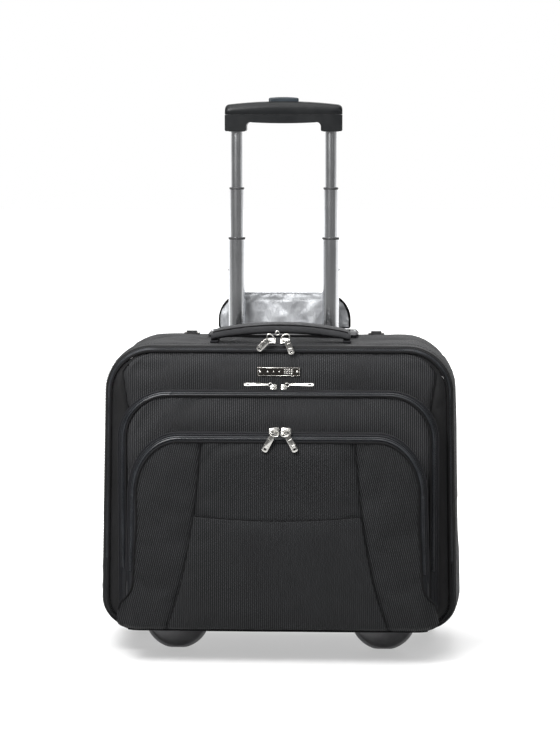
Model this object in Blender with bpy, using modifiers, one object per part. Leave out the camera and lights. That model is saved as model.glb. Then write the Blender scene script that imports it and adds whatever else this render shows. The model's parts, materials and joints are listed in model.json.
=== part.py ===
"""Rolling pilot flight case: a soft-sided case with two front pockets on rear wheels.

Metres, +Z up. The front faces -Y and +X is to the right seen from the front. The origin is on the
ground, in the middle of the case's footprint. Depths are measured back from the front rim of the
case body, so the pockets have negative depths. The telescopic handle is part way out.
"""
import math

import bmesh
import bpy
from mathutils import Matrix, Vector

# Driving dimensions
RIM_Y = -0.059                # front rim of the case body, from the origin
GAP = 0.0003                  # between pieces that touch
WALL = 0.003                  # padded fabric wall

CASE = dict(half_low=0.2115, half_high=0.2065, low=0.034, high=0.375, r_low=0.035, r_high=0.055)
CASE_DEPTH = 0.172
SIDE_BULGE = 0.006            # how far the soft sides belly out at mid depth
GUSSET_SHAPE = ((0.0, 0.0), (0.02, 0.65), (0.06, 1.0), (0.12, 0.95), (CASE_DEPTH, 0.2))
PIPING_R = 0.003
PANEL_INSET = 2 * PIPING_R + 0.0005

PANEL_FRONT = -0.008
POCKET_1 = dict(half_low=0.1810, half_high=0.1810, low=0.0410, high=0.321, r_low=0.030, r_high=0.052)
POCKET_1_FRONT = -0.031
COVER_1_FRONT = -0.035
POCKET_2 = dict(half_low=0.1790, half_high=0.1665, low=0.0450, high=0.268, r_low=0.030,
                r_high=(0.050, 0.066), flare=(0.082, 0.112))
POCKET_2_FRONT = -0.054
COVER_2_EDGE = -0.0575
COVER_2_FRONT = -0.0625

TUBE_X = 0.0587               # half the distance between the handle tubes
TUBE_DEPTH = 0.148
OUTER_TUBE = dict(r=0.0140, bore=0.0126, low=0.0620, high=0.3247)
LOWER_TUBE = dict(r=0.0105, bore=0.0095, low=0.2438, high=0.4988)
MID_TUBE = dict(r=0.0088, bore=0.0079, low=0.3110, high=0.5610)
TOP_TUBE = dict(r=0.0073, bore=0.0062, low=0.3950, high=0.6450)
COLLAR_PROUD = 0.0007
COLLAR_HEIGHT = 0.0022

GRIP_HALF = 0.0728
GRIP_LEG = 0.0265
GRIP_DEPTH = 0.030
GRIP_LOW = 0.6307
GRIP_PARTING = 0.6510
GRIP_TOP = 0.6680
BUTTON_HALF = (0.0185, 0.0080)
BUTTON_LOW = 0.6590
BUTTON_HIGH = 0.6730
BUTTON_TRAVEL = 0.004

GARAGE_HALF = 0.0860
GARAGE_DEPTHS = (0.1285, 0.1675)
GARAGE_FLOOR = 0.325
BEZEL_TOP = 0.382
MOULDED_WALL = 0.0025
FLAP = dict(half_low=0.0835, half_high=0.0835, low=0.384, high=0.4270, r_low=0.003, r_high=0.033)
FLAP_DEPTHS = (0.1733, 0.1757)

STRAP_HALF = 0.082             # carry handle
STRAP_DEPTHS = (0.046, 0.080)
STRAP_RISE = 0.0105
STRAP_THICKNESS = 0.0125
RING_X = 0.116
RING_DEPTH = 0.154
RING_BOW = 0.009
RING_WIRE = 0.00125

WHEEL_R = 0.031
WHEEL_X = 0.182
WHEEL_DEPTH = 0.152
WHEEL_WIDTH = 0.024
AXLE_R = 0.004
HOUSING_HALF = (0.157, 0.219)
HOUSING_DEPTHS = (0.092, 0.178)
HOUSING_HEIGHTS = (0.018, 0.102)
HOUSING_CORNER = 0.044
HOUSING_SKIN = 0.004

FOOT_X = 0.1265
FOOT_R = 0.0405
FOOT_AXIS_Z = 0.0385
FOOT_DEPTHS = (0.038, 0.070)

FINISHES = {
    "fabric": ((0.035, 0.036, 0.040), 0.80, 0.0),
    "piping": ((0.016, 0.016, 0.018), 0.60, 0.0),
    "zip": ((0.028, 0.034, 0.042), 0.65, 0.0),
    "lining": ((0.420, 0.430, 0.440), 0.45, 0.0),
    "moulding": ((0.030, 0.030, 0.032), 0.45, 0.0),
    "grip": ((0.055, 0.062, 0.066), 0.35, 0.0),
    "tyre": ((0.020, 0.020, 0.020), 0.85, 0.0),
    "nickel": ((0.780, 0.770, 0.740), 0.18, 1.0),
    "aluminium": ((0.720, 0.730, 0.740), 0.25, 1.0),
    "steel": ((0.450, 0.460, 0.470), 0.30, 1.0),
    "plate": ((0.120, 0.110, 0.100), 0.30, 1.0),
}

for old in list(bpy.data.objects):
    bpy.data.objects.remove(old)

parts = bpy.data.collections.new("pilot_flight_case")
cutters = bpy.data.collections.new("cutters")
bpy.context.scene.collection.children.link(parts)
bpy.context.scene.collection.children.link(cutters)
pivots = {}


# Helpers
def pivot(name, depth, x=0.0, z=0.0, parent=None):
    """An empty on a joint's axis, which the pieces of that moving body are parented to."""
    place = Vector((x, RIM_Y + depth, z))
    empty = bpy.data.objects.new("pivot_" + name, None)
    empty.empty_display_size = 0.02
    parts.objects.link(empty)
    if parent:
        empty.parent = pivots[parent][0]
        empty.location = place - pivots[parent][1]
    else:
        empty.location = place
    pivots[name] = (empty, place)


def give_material(obj, finish):
    colour, roughness, metallic = FINISHES[finish]
    material = bpy.data.materials.new(obj.name)
    material.use_nodes = True
    shader = material.node_tree.nodes["Principled BSDF"]
    shader.inputs["Base Color"].default_value = (*colour, 1.0)
    shader.inputs["Roughness"].default_value = roughness
    shader.inputs["Metallic"].default_value = metallic
    obj.data.materials.append(material)


def add(name, data, finish, place=(0, 0, 0), turn=(0, 0, 0), body=None):
    """Link one piece, at a place in world space, under its body's empty."""
    obj = bpy.data.objects.new(name, data)
    parts.objects.link(obj)
    obj.location = place
    obj.rotation_euler = turn
    if body:
        obj.parent = pivots[body][0]
        obj.location = Vector(place) - pivots[body][1]
    give_material(obj, finish)
    return obj


def mesh_from(bm, name, smooth_angle=None, recalculate=True):
    if recalculate:
        bmesh.ops.recalc_face_normals(bm, faces=bm.faces)
    mesh = bpy.data.meshes.new(name)
    bm.to_mesh(mesh)
    bm.free()
    if smooth_angle:
        mesh.shade_smooth()
        mesh.set_sharp_from_angle(angle=math.radians(smooth_angle))
    return mesh


def bevel(obj, width, segments=1):
    modifier = obj.modifiers.new("rounding", "BEVEL")
    modifier.width = width
    modifier.segments = segments
    modifier.angle_limit = math.radians(40)


def cut(obj, *tools):
    for tool in tools:
        modifier = obj.modifiers.new(tool.name, "BOOLEAN")
        modifier.operation = "DIFFERENCE"
        modifier.solver = "EXACT"
        modifier.object = tool


def as_cutter(name, bm):
    bmesh.ops.recalc_face_normals(bm, faces=bm.faces)
    mesh = bpy.data.meshes.new(name)
    bm.to_mesh(mesh)
    bm.free()
    obj = bpy.data.objects.new(name, mesh)
    cutters.objects.link(obj)
    obj.hide_render = True
    obj.display_type = "WIRE"
    return obj


def box_bm(low, high):
    """A cube primitive stretched between two corners given as (x, depth, z)."""
    bm = bmesh.new()
    bmesh.ops.create_cube(bm, size=1.0)
    size = [high[i] - low[i] for i in range(3)]
    centre = Vector([(high[i] + low[i]) / 2 for i in range(3)]) + Vector((0, RIM_Y, 0))
    bmesh.ops.scale(bm, vec=size, verts=bm.verts)
    bmesh.ops.translate(bm, vec=centre, verts=bm.verts)
    return bm


def block(name, low, high, finish, rounding=0.0, segments=1, body=None):
    obj = add(name, mesh_from(box_bm(low, high), name), finish, body=body)
    if rounding:
        bevel(obj, rounding, segments)
    return obj


def box_cutter(name, low, high):
    return as_cutter(name, box_bm(low, high))


def rod_bm(radius, length, sides, axis):
    bm = bmesh.new()
    bmesh.ops.create_cone(bm, cap_ends=True, segments=sides, radius1=radius, radius2=radius, depth=length)
    turn = {"X": Matrix.Rotation(math.pi / 2, 4, "Y"), "Y": Matrix.Rotation(math.pi / 2, 4, "X"),
            "Z": Matrix.Identity(4)}[axis]
    bmesh.ops.transform(bm, matrix=turn, verts=bm.verts)
    return bm


def rod_cutter(name, radius, length, centre, axis, sides=24):
    tool = as_cutter(name, rod_bm(radius, length, sides, axis))
    tool.location = (centre[0], RIM_Y + centre[1], centre[2])
    return tool


def arc(cx, cz, rx, rz, start, stop, steps):
    """Points of an elliptical arc in the XZ plane, angles in degrees from +X towards +Z."""
    angles = [math.radians(start + (stop - start) * i / steps) for i in range(steps + 1)]
    return [(cx + rx * math.cos(a), cz + rz * math.sin(a)) for a in angles]


def smooth(t):
    t = min(1.0, max(0.0, t))
    return t * t * (3 - 2 * t)


def outline(half_low, half_high, low, high, r_low, r_high, flare=None, inset=0.0, steps=6):
    """Rounded outline of a panel, counter-clockwise seen from the front, same on both sides.

    A flare (from, to) keeps the sides at half_high down to one height and half_low below another.
    """
    rx, rz = r_high if isinstance(r_high, tuple) else (r_high, r_high)
    half_low, half_high = half_low - inset, half_high - inset
    low, high = low + inset, high - inset
    r_low, rx, rz = r_low - inset, rx - inset, rz - inset
    right = arc(half_low - r_low, low + r_low, r_low, r_low, -90, 0, steps)
    if flare:
        for i in range(5):
            z = flare[0] + (flare[1] - flare[0]) * i / 4
            right.append((half_low + (half_high - half_low) * smooth(i / 4), z))
    right += arc(half_high - rx, high - rz, rx, rz, 0, 90, steps)
    return right + [(-x, z) for x, z in reversed(right)]


def loft_bm(sections, ends):
    """Skin over outlines with equal point counts, given as (depth, points) from front to back."""
    return skin_bm([[(x, depth, z) for x, z in points] for depth, points in sections], ends)


def skin_bm(loops, ends):
    """Skin over loops of (x, depth, z) points, whose ends are open, capped, or joined as a frame."""
    bm = bmesh.new()
    rings = [[bm.verts.new((x, RIM_Y + depth, z)) for x, depth, z in loop] for loop in loops]
    count = len(rings[0])
    for front, back in zip(rings, rings[1:] + (rings[:1] if ends == "joined" else [])):
        for i in range(count):
            j = (i + 1) % count
            bm.faces.new((back[i], back[j], front[j], front[i]))
    if ends == "capped":
        bm.faces.new(rings[0])
        bm.faces.new(rings[-1][::-1])
    return bm


def slab(name, points, front, back, finish, body=None):
    """A flat panel of one outline."""
    return add(name, mesh_from(loft_bm([(front, points), (back, points)], "capped"), name), finish, body=body)


def shell(name, sections, wall, finish, body=None):
    """An open skin, thickened inwards."""
    mesh = mesh_from(loft_bm(sections, "open"), name, 50, recalculate=False)
    obj = add(name, mesh, finish, body=body)
    modifier = obj.modifiers.new("wall", "SOLIDIFY")
    modifier.thickness = wall
    modifier.offset = -1
    modifier.use_even_offset = True
    return obj


def wire(name, points, radius, finish, closed, resolution=2, body=None):
    """A round cord or wire along points given as (x, depth, z)."""
    curve = bpy.data.curves.new(name, "CURVE")
    curve.dimensions = "3D"
    curve.bevel_depth = radius
    curve.bevel_resolution = resolution
    curve.use_fill_caps = not closed
    spline = curve.splines.new("POLY")
    spline.points.add(len(points) - 1)
    for point, (x, depth, z) in zip(spline.points, points):
        point.co = (x, RIM_Y + depth, z, 1.0)
    spline.use_cyclic_u = closed
    return add(name, curve, finish, body=body)


def turned(name, profile, place, finish, axis="Z", steps=24, body=None):
    """A closed profile of (radius, height) points turned round its axis."""
    bm = bmesh.new()
    verts = [bm.verts.new((r, 0, h)) for r, h in profile]
    for a, b in zip(verts, verts[1:] + verts[:1]):
        bm.edges.new((a, b))
    turn = (0, math.pi / 2, 0) if axis == "X" else (0, 0, 0)
    mesh = mesh_from(bm, name, recalculate=False)
    world = (place[0], RIM_Y + place[1], place[2])
    obj = add(name, mesh, finish, place=world, turn=turn, body=body)
    screw = obj.modifiers.new("turn", "SCREW")
    screw.steps = steps
    screw.render_steps = steps
    screw.use_merge_vertices = True
    screw.merge_threshold = 0.0001
    screw.use_smooth_shade = True
    return obj


def sides():
    """The left and right sides: a suffix and the sign of x."""
    return (("l", -1), ("r", 1))


# Joint axes
LID_AXIS = (-0.002, 0.036)
COVER_1_AXIS = (-0.033, 0.0420)
COVER_2_AXIS = (-0.056, 0.0460)
FLAP_AXIS = (0.1745, 0.3828)
pivot("front_lid", LID_AXIS[0], z=LID_AXIS[1])
pivot("pocket_1_lid", COVER_1_AXIS[0], z=COVER_1_AXIS[1], parent="front_lid")
pivot("pocket_2_lid", COVER_2_AXIS[0], z=COVER_2_AXIS[1], parent="pocket_1_lid")
pivot("lower_stage", TUBE_DEPTH, z=LOWER_TUBE["low"])
pivot("mid_stage", TUBE_DEPTH, z=MID_TUBE["low"], parent="lower_stage")
pivot("top_stage", TUBE_DEPTH, z=TOP_TUBE["low"], parent="mid_stage")
pivot("button", TUBE_DEPTH, z=BUTTON_LOW, parent="top_stage")
pivot("garage_flap", FLAP_AXIS[0], z=FLAP_AXIS[1])


# Case body
def housing_cutter(side, sign):
    """Removes the rear bottom corner that a wheel housing fills."""
    inner = HOUSING_HALF[0] - GAP
    xs = sorted((sign * inner, sign * 0.30))
    front = HOUSING_DEPTHS[0] - GAP
    return box_cutter("corner_" + side, (xs[0], front, -0.05), (xs[1], 0.25, HOUSING_HEIGHTS[1] + GAP))


def case_outline(inset=0.0, bulge=0.0):
    """The case's outline, with its sides bellied out, most of all low down."""
    size = dict(CASE)
    size["half_low"] += bulge
    size["half_high"] += bulge * 0.7
    return outline(**size, inset=inset, steps=7)


def upper_outline(height, inset=0.0, bulge=0.0):
    """The part of the case's outline above a height on its straight sides, right side first."""
    points = case_outline(inset, bulge)
    right = [p for p in points if p[0] > 0]
    below = max((p for p in right if p[1] < height), key=lambda p: p[1])
    above = min((p for p in right if p[1] > height), key=lambda p: p[1])
    t = (height - below[1]) / (above[1] - below[1])
    x = below[0] + (above[0] - below[0]) * t
    return [(x, height)] + [p for p in points if p[1] > height] + [(-x, height)]


def make_body():
    corners = [housing_cutter(side, sign) for side, sign in sides()]
    sections = [(depth, case_outline(bulge=SIDE_BULGE * bulge)) for depth, bulge in GUSSET_SHAPE]
    gusset = shell("gusset_shell", sections, WALL, "fabric")
    mouth = box_cutter("garage_mouth", (-GARAGE_HALF - GAP, GARAGE_DEPTHS[0] - GAP, 0.36),
                       (GARAGE_HALF + GAP, GARAGE_DEPTHS[1] + GAP, 0.39))
    cut(gusset, mouth, *corners)
    back = slab("back_panel", case_outline(PANEL_INSET), CASE_DEPTH + GAP, CASE_DEPTH + 0.005, "fabric")
    cut(back, *corners)
    board = block("base_board", (-0.174, 0.009, CASE["low"] + WALL + GAP), (0.174, 0.168, 0.0403), "moulding")
    cut(board, *corners)
    divider = slab("lining_divider", case_outline(0.008), 0.124, 0.126, "lining")
    floor = box_cutter("divider_floor", (-0.25, 0.12, 0.02), (0.25, 0.13, 0.0406))
    cut(divider, floor, *corners)
    rim = [(x, 0.0045, z) for x, z in case_outline(WALL + 0.0022)]
    wire("rim_wire", rim, 0.0015, "steel", True, resolution=1)
    rear = [(x, CASE_DEPTH + GAP + PIPING_R, z) for x, z in upper_outline(HOUSING_HEIGHTS[1] + 0.001, PIPING_R)]
    wire("rear_piping", rear, PIPING_R, "piping", False)


def make_zip_tape():
    """The gusset's half of the main zip: over the top and down both sides."""
    rows = []
    for depth, lift in ((0.003, 2 * GAP), (0.003, 0.0012), (0.011, 0.0012), (0.011, 2 * GAP)):
        bulge = SIDE_BULGE * GUSSET_SHAPE[1][1] * depth / GUSSET_SHAPE[1][0]
        rows.append([(x, depth, z) for x, z in upper_outline(0.118, -lift, bulge)])
    add("main_zip_tape", mesh_from(skin_bm(list(zip(*rows)), "capped"), "main_zip_tape", 50), "zip")


def make_carry_handle():
    """A padded strap arched over the top panel, sewn down at both ends."""
    low, steps = CASE["high"] + GAP, 14
    bm = bmesh.new()
    front = []
    for i in range(steps + 1):
        t = 2 * i / steps - 1
        lift = STRAP_RISE * (1 - t * t)
        front.append(bm.verts.new((STRAP_HALF * t, RIM_Y + STRAP_DEPTHS[0], low + lift)))
    for a, b in zip(front, front[1:]):
        bm.edges.new((a, b))
    result = bmesh.ops.extrude_edge_only(bm, edges=bm.edges[:])
    moved = [item for item in result["geom"] if isinstance(item, bmesh.types.BMVert)]
    bmesh.ops.translate(bm, vec=(0, STRAP_DEPTHS[1] - STRAP_DEPTHS[0], 0), verts=moved)
    for face in bm.faces:
        face.normal_update()
        if face.normal.z < 0:
            face.normal_flip()
    handle = add("carry_handle", mesh_from(bm, "carry_handle", 60, recalculate=False), "fabric")
    modifier = handle.modifiers.new("padding", "SOLIDIFY")
    modifier.thickness = STRAP_THICKNESS
    modifier.offset = 1
    bevel(handle, 0.003)


def make_rings():
    """A D-ring and its sewn tab at each side of the rear top edge."""
    for side, sign in sides():
        x, depth, z = sign * RING_X, RING_DEPTH, CASE["high"] + 0.0025
        pivot("ring_" + side, depth, x=x, z=z)
        bow = [(bow_x, bow_depth, z) for bow_x, bow_depth in arc(x, depth + 0.004, RING_BOW, RING_BOW, 0, 180, 6)]
        corners = [(x - RING_BOW, depth, z), (x + RING_BOW, depth, z)]
        wire("d_ring_" + side, bow + corners, RING_WIRE, "nickel", True, resolution=1, body="ring_" + side)
        tab = block("ring_tab_" + side, (x - 0.0065, depth - 0.012, CASE["high"] + GAP),
                    (x + 0.0065, depth + 0.0022, z + 0.0024), "fabric")
        cut(tab, rod_cutter("ring_way_" + side, RING_WIRE + GAP, 0.03, (x, depth, z), "X", sides=12))


def make_feet():
    """Two half-round moulded feet under the front of the case, each with a flat sole."""
    for side, sign in sides():
        bm = rod_bm(FOOT_R, FOOT_DEPTHS[1] - FOOT_DEPTHS[0], 40, "Y")
        centre = (sign * FOOT_X, RIM_Y + sum(FOOT_DEPTHS) / 2, FOOT_AXIS_Z)
        bmesh.ops.translate(bm, vec=centre, verts=bm.verts)
        for height, upward in ((CASE["low"] - GAP, 1), (0.0, -1)):
            geometry = bm.verts[:] + bm.edges[:] + bm.faces[:]
            sliced = bmesh.ops.bisect_plane(bm, geom=geometry, plane_co=(0, 0, height),
                                            plane_no=(0, 0, upward), clear_outer=True)
            rim = [item for item in sliced["geom_cut"] if isinstance(item, bmesh.types.BMEdge)]
            bmesh.ops.edgeloop_fill(bm, edges=rim)
        foot = add("front_foot_" + side, mesh_from(bm, "front_foot_" + side, 40), "moulding")
        bevel(foot, 0.0025)


def make_wheels():
    """Rear wheels on fixed axles, in moulded housings that wrap the bottom corners."""
    inner, outer = HOUSING_HALF
    low, high = HOUSING_HEIGHTS
    for side, sign in sides():
        corner = arc(outer - HOUSING_CORNER, low + HOUSING_CORNER, HOUSING_CORNER, HOUSING_CORNER, -90, 0, 6)
        points = [(sign * x, z) for x, z in corner + [(outer, high), (inner, high), (inner, low)]]
        if sign < 0:
            points.reverse()
        housing = slab("wheel_housing_" + side, points, *HOUSING_DEPTHS, "moulding")
        bevel(housing, 0.0025)
        hub_x = sign * WHEEL_X
        well_x = sorted((sign * (inner + HOUSING_SKIN), sign * (outer - HOUSING_SKIN - 0.0015)))
        slot = WHEEL_WIDTH / 2 + 0.004
        well = box_cutter("wheel_well_" + side, (well_x[0], HOUSING_DEPTHS[0] + HOUSING_SKIN, -0.05),
                          (well_x[1], HOUSING_DEPTHS[1] - HOUSING_SKIN, high - 0.030))
        rear = box_cutter("rear_slot_" + side, (hub_x - slot, 0.16, -0.05), (hub_x + slot, 0.20, 0.062))
        bore = rod_cutter("axle_bore_" + side, AXLE_R + GAP, 0.08, (hub_x, WHEEL_DEPTH, WHEEL_R), "X")
        cut(housing, well, rear, bore)
        length = outer - inner - 0.006
        axle = rod_bm(AXLE_R, length, 20, "X")
        axle_x = sign * (inner + outer - 0.004) / 2
        place = (axle_x, RIM_Y + WHEEL_DEPTH, WHEEL_R)
        add("axle_" + side, mesh_from(axle, "axle_" + side, 40), "steel", place=place)
        name = "wheel_" + side
        pivot(name, WHEEL_DEPTH, x=hub_x, z=WHEEL_R)
        half = WHEEL_WIDTH / 2
        bore_r = AXLE_R + GAP
        hub = [(0.0085, half + 0.001), (0.0105, half - 0.004), (0.0215, half - 0.004), (0.0215, 0.004 - half),
               (0.0105, 0.004 - half), (0.0085, -half - 0.001), (bore_r, -half - 0.001), (bore_r, half + 0.001)]
        centre = (hub_x, WHEEL_DEPTH, WHEEL_R)
        turned("wheel_hub_" + side, hub, centre, "moulding", "X", 24, body=name)
        crown = arc(WHEEL_R - 0.006, 0.0, 0.006, half - 0.001, 80, -80, 6)
        tyre = [(0.0218, half - 0.002)] + crown + [(0.0218, 0.002 - half)]
        turned("tyre_" + side, tyre, centre, "tyre", "X", 40, body=name)


def make_kick_plate():
    depth = CASE_DEPTH + 0.005 + GAP
    block("kick_plate", (-0.155, depth, 0.046), (0.155, depth + 0.0035, 0.110), "moulding", rounding=0.0015)


# Telescopic handle
def make_outer_tubes():
    for side, sign in sides():
        tube_node("outer_tube_" + side, OUTER_TUBE, sign, None, 0.0, "steel")
    block("tube_bracket", (-0.078, TUBE_DEPTH - 0.016, 0.0406), (0.078, TUBE_DEPTH + 0.016, 0.0617), "moulding",
          rounding=0.002)


def tube_node(name, size, sign, body, collar, finish="aluminium"):
    """A round tube with a slightly wider collar round its top end."""
    r, bore, low, high = size["r"], size["bore"], size["low"], size["high"]
    profile = [(r, high), (r, low), (bore, low), (bore, high)]
    if collar:
        profile = [(r + collar, high), (r + collar, high - COLLAR_HEIGHT), (r, high - COLLAR_HEIGHT)] + profile[1:]
    turned(name, profile, (sign * TUBE_X, TUBE_DEPTH, 0.0), finish, "Z", 24, body=body)


def make_stages():
    stages = (("lower", LOWER_TUBE, COLLAR_PROUD), ("mid", MID_TUBE, COLLAR_PROUD), ("top", TOP_TUBE, 0.0))
    for label, size, collar in stages:
        for side, sign in sides():
            tube_node(label + "_tube_" + side, size, sign, label + "_stage", collar)
    for side, sign in sides():
        pin = rod_bm(0.0016, 0.0014, 12, "X")
        place = (sign * (TUBE_X + LOWER_TUBE["r"] + GAP + 0.0007), RIM_Y + TUBE_DEPTH, 0.4585)
        add("lock_pin_" + side, mesh_from(pin, "lock_pin_" + side, 40), "steel", place=place, body="lower_stage")


def make_grip():
    front, back = TUBE_DEPTH - GRIP_DEPTH / 2, TUBE_DEPTH + GRIP_DEPTH / 2
    inner = GRIP_HALF - GRIP_LEG
    fillet = arc(inner - 0.005, 0.6370, 0.005, 0.005, 0, 90, 3)
    belly = [(x, 0.6405 + 0.0015 * (x / 0.042) ** 2) for x in (0.035, 0.021, 0.007)]
    right = [(GRIP_HALF, GRIP_PARTING), (GRIP_HALF, GRIP_LOW), (inner, GRIP_LOW)] + fillet + belly
    points = right + [(-x, z) for x, z in reversed(right)]
    points.reverse()
    lower = slab("grip_underside", points, front, back, "grip", body="top_stage")
    bevel(lower, 0.003)
    for side, sign in sides():
        centre = (sign * TUBE_X, TUBE_DEPTH, 0.635)
        cut(lower, rod_cutter("socket_" + side, TOP_TUBE["r"] + GAP, 0.022, centre, "Z"))
    shoulder_r, drop = 0.0055, 0.0045
    crown = [(x, GRIP_TOP - drop * (x / GRIP_HALF) ** 2) for x in (0.056, 0.042, 0.028, 0.010)]
    shoulder = arc(GRIP_HALF - shoulder_r, GRIP_TOP - drop - shoulder_r, shoulder_r, shoulder_r, 0, 80, 4)
    right = [(GRIP_HALF, GRIP_PARTING + GAP)] + shoulder + crown
    points = right + [(-x, z) for x, z in reversed(right)]
    upper = slab("grip_shell", points, front, back, "grip", body="top_stage")
    bevel(upper, 0.003)
    half_x, half_y = (size + GAP for size in BUTTON_HALF)
    pocket = box_cutter("button_pocket", (-half_x, TUBE_DEPTH - half_y, BUTTON_LOW - BUTTON_TRAVEL - 2 * GAP),
                        (half_x, TUBE_DEPTH + half_y, 0.70))
    cut(upper, pocket)
    block("release_button", (-BUTTON_HALF[0], TUBE_DEPTH - BUTTON_HALF[1], BUTTON_LOW),
          (BUTTON_HALF[0], TUBE_DEPTH + BUTTON_HALF[1], BUTTON_HIGH), "grip", rounding=0.0015, body="button")


def make_garage():
    """The recess in the top that the grip drops into, its rim, and the flap that covers it."""
    front, back = GARAGE_DEPTHS
    wall = MOULDED_WALL
    tub = block("handle_garage", (-GARAGE_HALF, front, GARAGE_FLOOR), (GARAGE_HALF, back, CASE["high"]), "moulding")
    hollow = box_cutter("garage_hollow", (wall - GARAGE_HALF, front + wall, GARAGE_FLOOR + wall),
                        (GARAGE_HALF - wall, back - wall, 0.42))
    tools = [hollow]
    for side, sign in sides():
        centre = (sign * TUBE_X, TUBE_DEPTH, GARAGE_FLOOR)
        tools.append(rod_cutter("garage_hole_" + side, OUTER_TUBE["bore"], 0.03, centre, "Z"))
    cut(tub, *tools)
    bezel = block("garage_bezel", (-0.094, 0.1215, CASE["high"] + GAP), (0.094, CASE_DEPTH, BEZEL_TOP), "moulding",
                  rounding=0.0035)
    way = box_cutter("bezel_way", (wall - GARAGE_HALF, front + wall, 0.36), (GARAGE_HALF - wall, back - wall, 0.42))
    cut(bezel, way)
    slab("garage_flap", outline(**FLAP), *FLAP_DEPTHS, "lining", body="garage_flap")


# Front lid and pockets
def make_lid():
    slab("front_panel", case_outline(PANEL_INSET), PANEL_FRONT, -0.0005, "fabric", body="front_lid")
    rim = [(x, -GAP - PIPING_R, z) for x, z in case_outline(PIPING_R)]
    wire("front_piping", rim, PIPING_R, "piping", True, body="front_lid")
    block("name_plate", (-0.0258, PANEL_FRONT - 0.0015, 0.3385), (0.0258, PANEL_FRONT - GAP, 0.3495), "plate",
          rounding=0.0004, body="front_lid")
    pocket_gusset("pocket_1_gusset", POCKET_1, 0.010, POCKET_1_FRONT, PANEL_FRONT - GAP, "front_lid")


def pocket_gusset(name, size, rise, front, back, body):
    """A pocket's side wall, which slopes out to a wider and higher outline where it is sewn on."""
    wall = 0.002
    base = dict(size)
    base["half_low"] += 0.008
    base["half_high"] += 0.008
    base["high"] += rise
    base["low"] -= 0.004
    sections = [(front, outline(**size)), (back, outline(**base)), (back, outline(**base, inset=wall)),
                (front, outline(**size, inset=wall))]
    add(name, mesh_from(loft_bm(sections, "joined"), name, 30), "fabric", body=body)


def make_covers():
    slab("pocket_1_cover", outline(**POCKET_1), COVER_1_FRONT, POCKET_1_FRONT - GAP, "fabric", body="pocket_1_lid")
    pocket_gusset("pocket_2_gusset", POCKET_2, 0.012, POCKET_2_FRONT, COVER_1_FRONT - GAP, "pocket_1_lid")
    dome = []
    for depth, inset, lift in ((COVER_2_FRONT, 0.034, 0.006), (COVER_2_FRONT + 0.0022, 0.012, 0.003)):
        size = dict(POCKET_2)
        size["low"] -= inset - lift
        size["r_low"] = max(size["r_low"], inset + 0.006)
        size["r_high"] = tuple(max(r, inset + 0.012) for r in POCKET_2["r_high"])
        dome.append((depth, outline(**size, inset=inset)))
    dome += [(COVER_2_EDGE, outline(**POCKET_2)), (POCKET_2_FRONT - GAP, outline(**POCKET_2))]
    add("pocket_2_cover", mesh_from(loft_bm(dome, "capped"), "pocket_2_cover", 30), "fabric", body="pocket_2_lid")
    slip = outline(0.122, 0.098, 0.054, 0.172, 0.002, 0.002, steps=2)
    slab("slip_pocket", slip, COVER_2_FRONT - 0.0025, COVER_2_FRONT - GAP, "fabric", body="pocket_2_lid")


# Zips: name, body, slider low and high corners, tab hinge, tab size, lean and lie, seen on the right
ZIPS = (
    dict(name="main", body="front_lid", low=(0.002, -0.006, 0.3768), high=(0.0145, 0.0065, 0.3850),
         hinge=(0.0100, -0.0098, 0.3845), tab=(0.0075, 0.0014, 0.017), leans=(-38, -16), flat=False),
    dict(name="pocket_1", body="pocket_1_lid", low=(0.0028, -0.0305, 0.3275), high=(0.0095, -0.0240, 0.3322),
         hinge=(0.0110, -0.0272, 0.3331), tab=(0.0080, 0.0014, 0.031), leans=(0, 0), flat=True),
    dict(name="pocket_2", body="pocket_2_lid", low=(0.0015, -0.0585, 0.2745), high=(0.0145, -0.0505, 0.2820),
         hinge=(0.0090, -0.0625, 0.2750), tab=(0.0080, 0.0014, 0.022), leans=(-29, -29), flat=False),
)


def make_zips():
    """Each zip has two sliders that part from the middle, each with a hinged pull tab."""
    for zip_ in ZIPS:
        for (side, sign), lean in zip(sides(), zip_["leans"]):
            slider = zip_["name"] + "_slider_" + side
            low, high = zip_["low"], zip_["high"]
            centre = [(a + b) / 2 for a, b in zip(low, high)]
            pivot(slider, centre[1], x=sign * centre[0], z=centre[2], parent=zip_["body"])
            xs = sorted((sign * low[0], sign * high[0]))
            block(slider, (xs[0], low[1], low[2]), (xs[1], high[1], high[2]), "nickel", 0.0012, body=slider)
            make_tab(zip_, side, sign, lean, slider)


def make_tab(zip_, side, sign, lean, slider):
    """A flat pull tab that hangs from its hinge, or lies out sideways from it."""
    name = zip_["name"] + "_pull_" + side
    x, depth, z = zip_["hinge"]
    pivot(name, depth, x=sign * x, z=z, parent=slider)
    width, thick, length = zip_["tab"]
    bm = bmesh.new()
    bmesh.ops.create_cube(bm, size=1.0)
    bmesh.ops.scale(bm, vec=(width, thick, length), verts=bm.verts)
    bmesh.ops.translate(bm, vec=(0, 0, 0.001 - length / 2), verts=bm.verts)
    if zip_["flat"]:
        bmesh.ops.transform(bm, matrix=Matrix.Rotation(math.pi / 2, 4, "Z"), verts=bm.verts)
        bmesh.ops.transform(bm, matrix=Matrix.Rotation(-sign * math.pi / 2, 4, "Y"), verts=bm.verts)
    place = (sign * x, RIM_Y + depth, z)
    turn = (0, sign * math.radians(lean), 0)
    tab = add(name, mesh_from(bm, name), "nickel", place=place, turn=turn, body=name)
    bevel(tab, 0.0004)


make_body()
make_zip_tape()
make_carry_handle()
make_rings()
make_feet()
make_wheels()
make_kick_plate()
make_outer_tubes()
make_stages()
make_grip()
make_garage()
make_lid()
make_covers()
make_zips()
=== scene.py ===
import json
import math

import bmesh
import bpy
from mathutils import Matrix, Vector, noise


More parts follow.
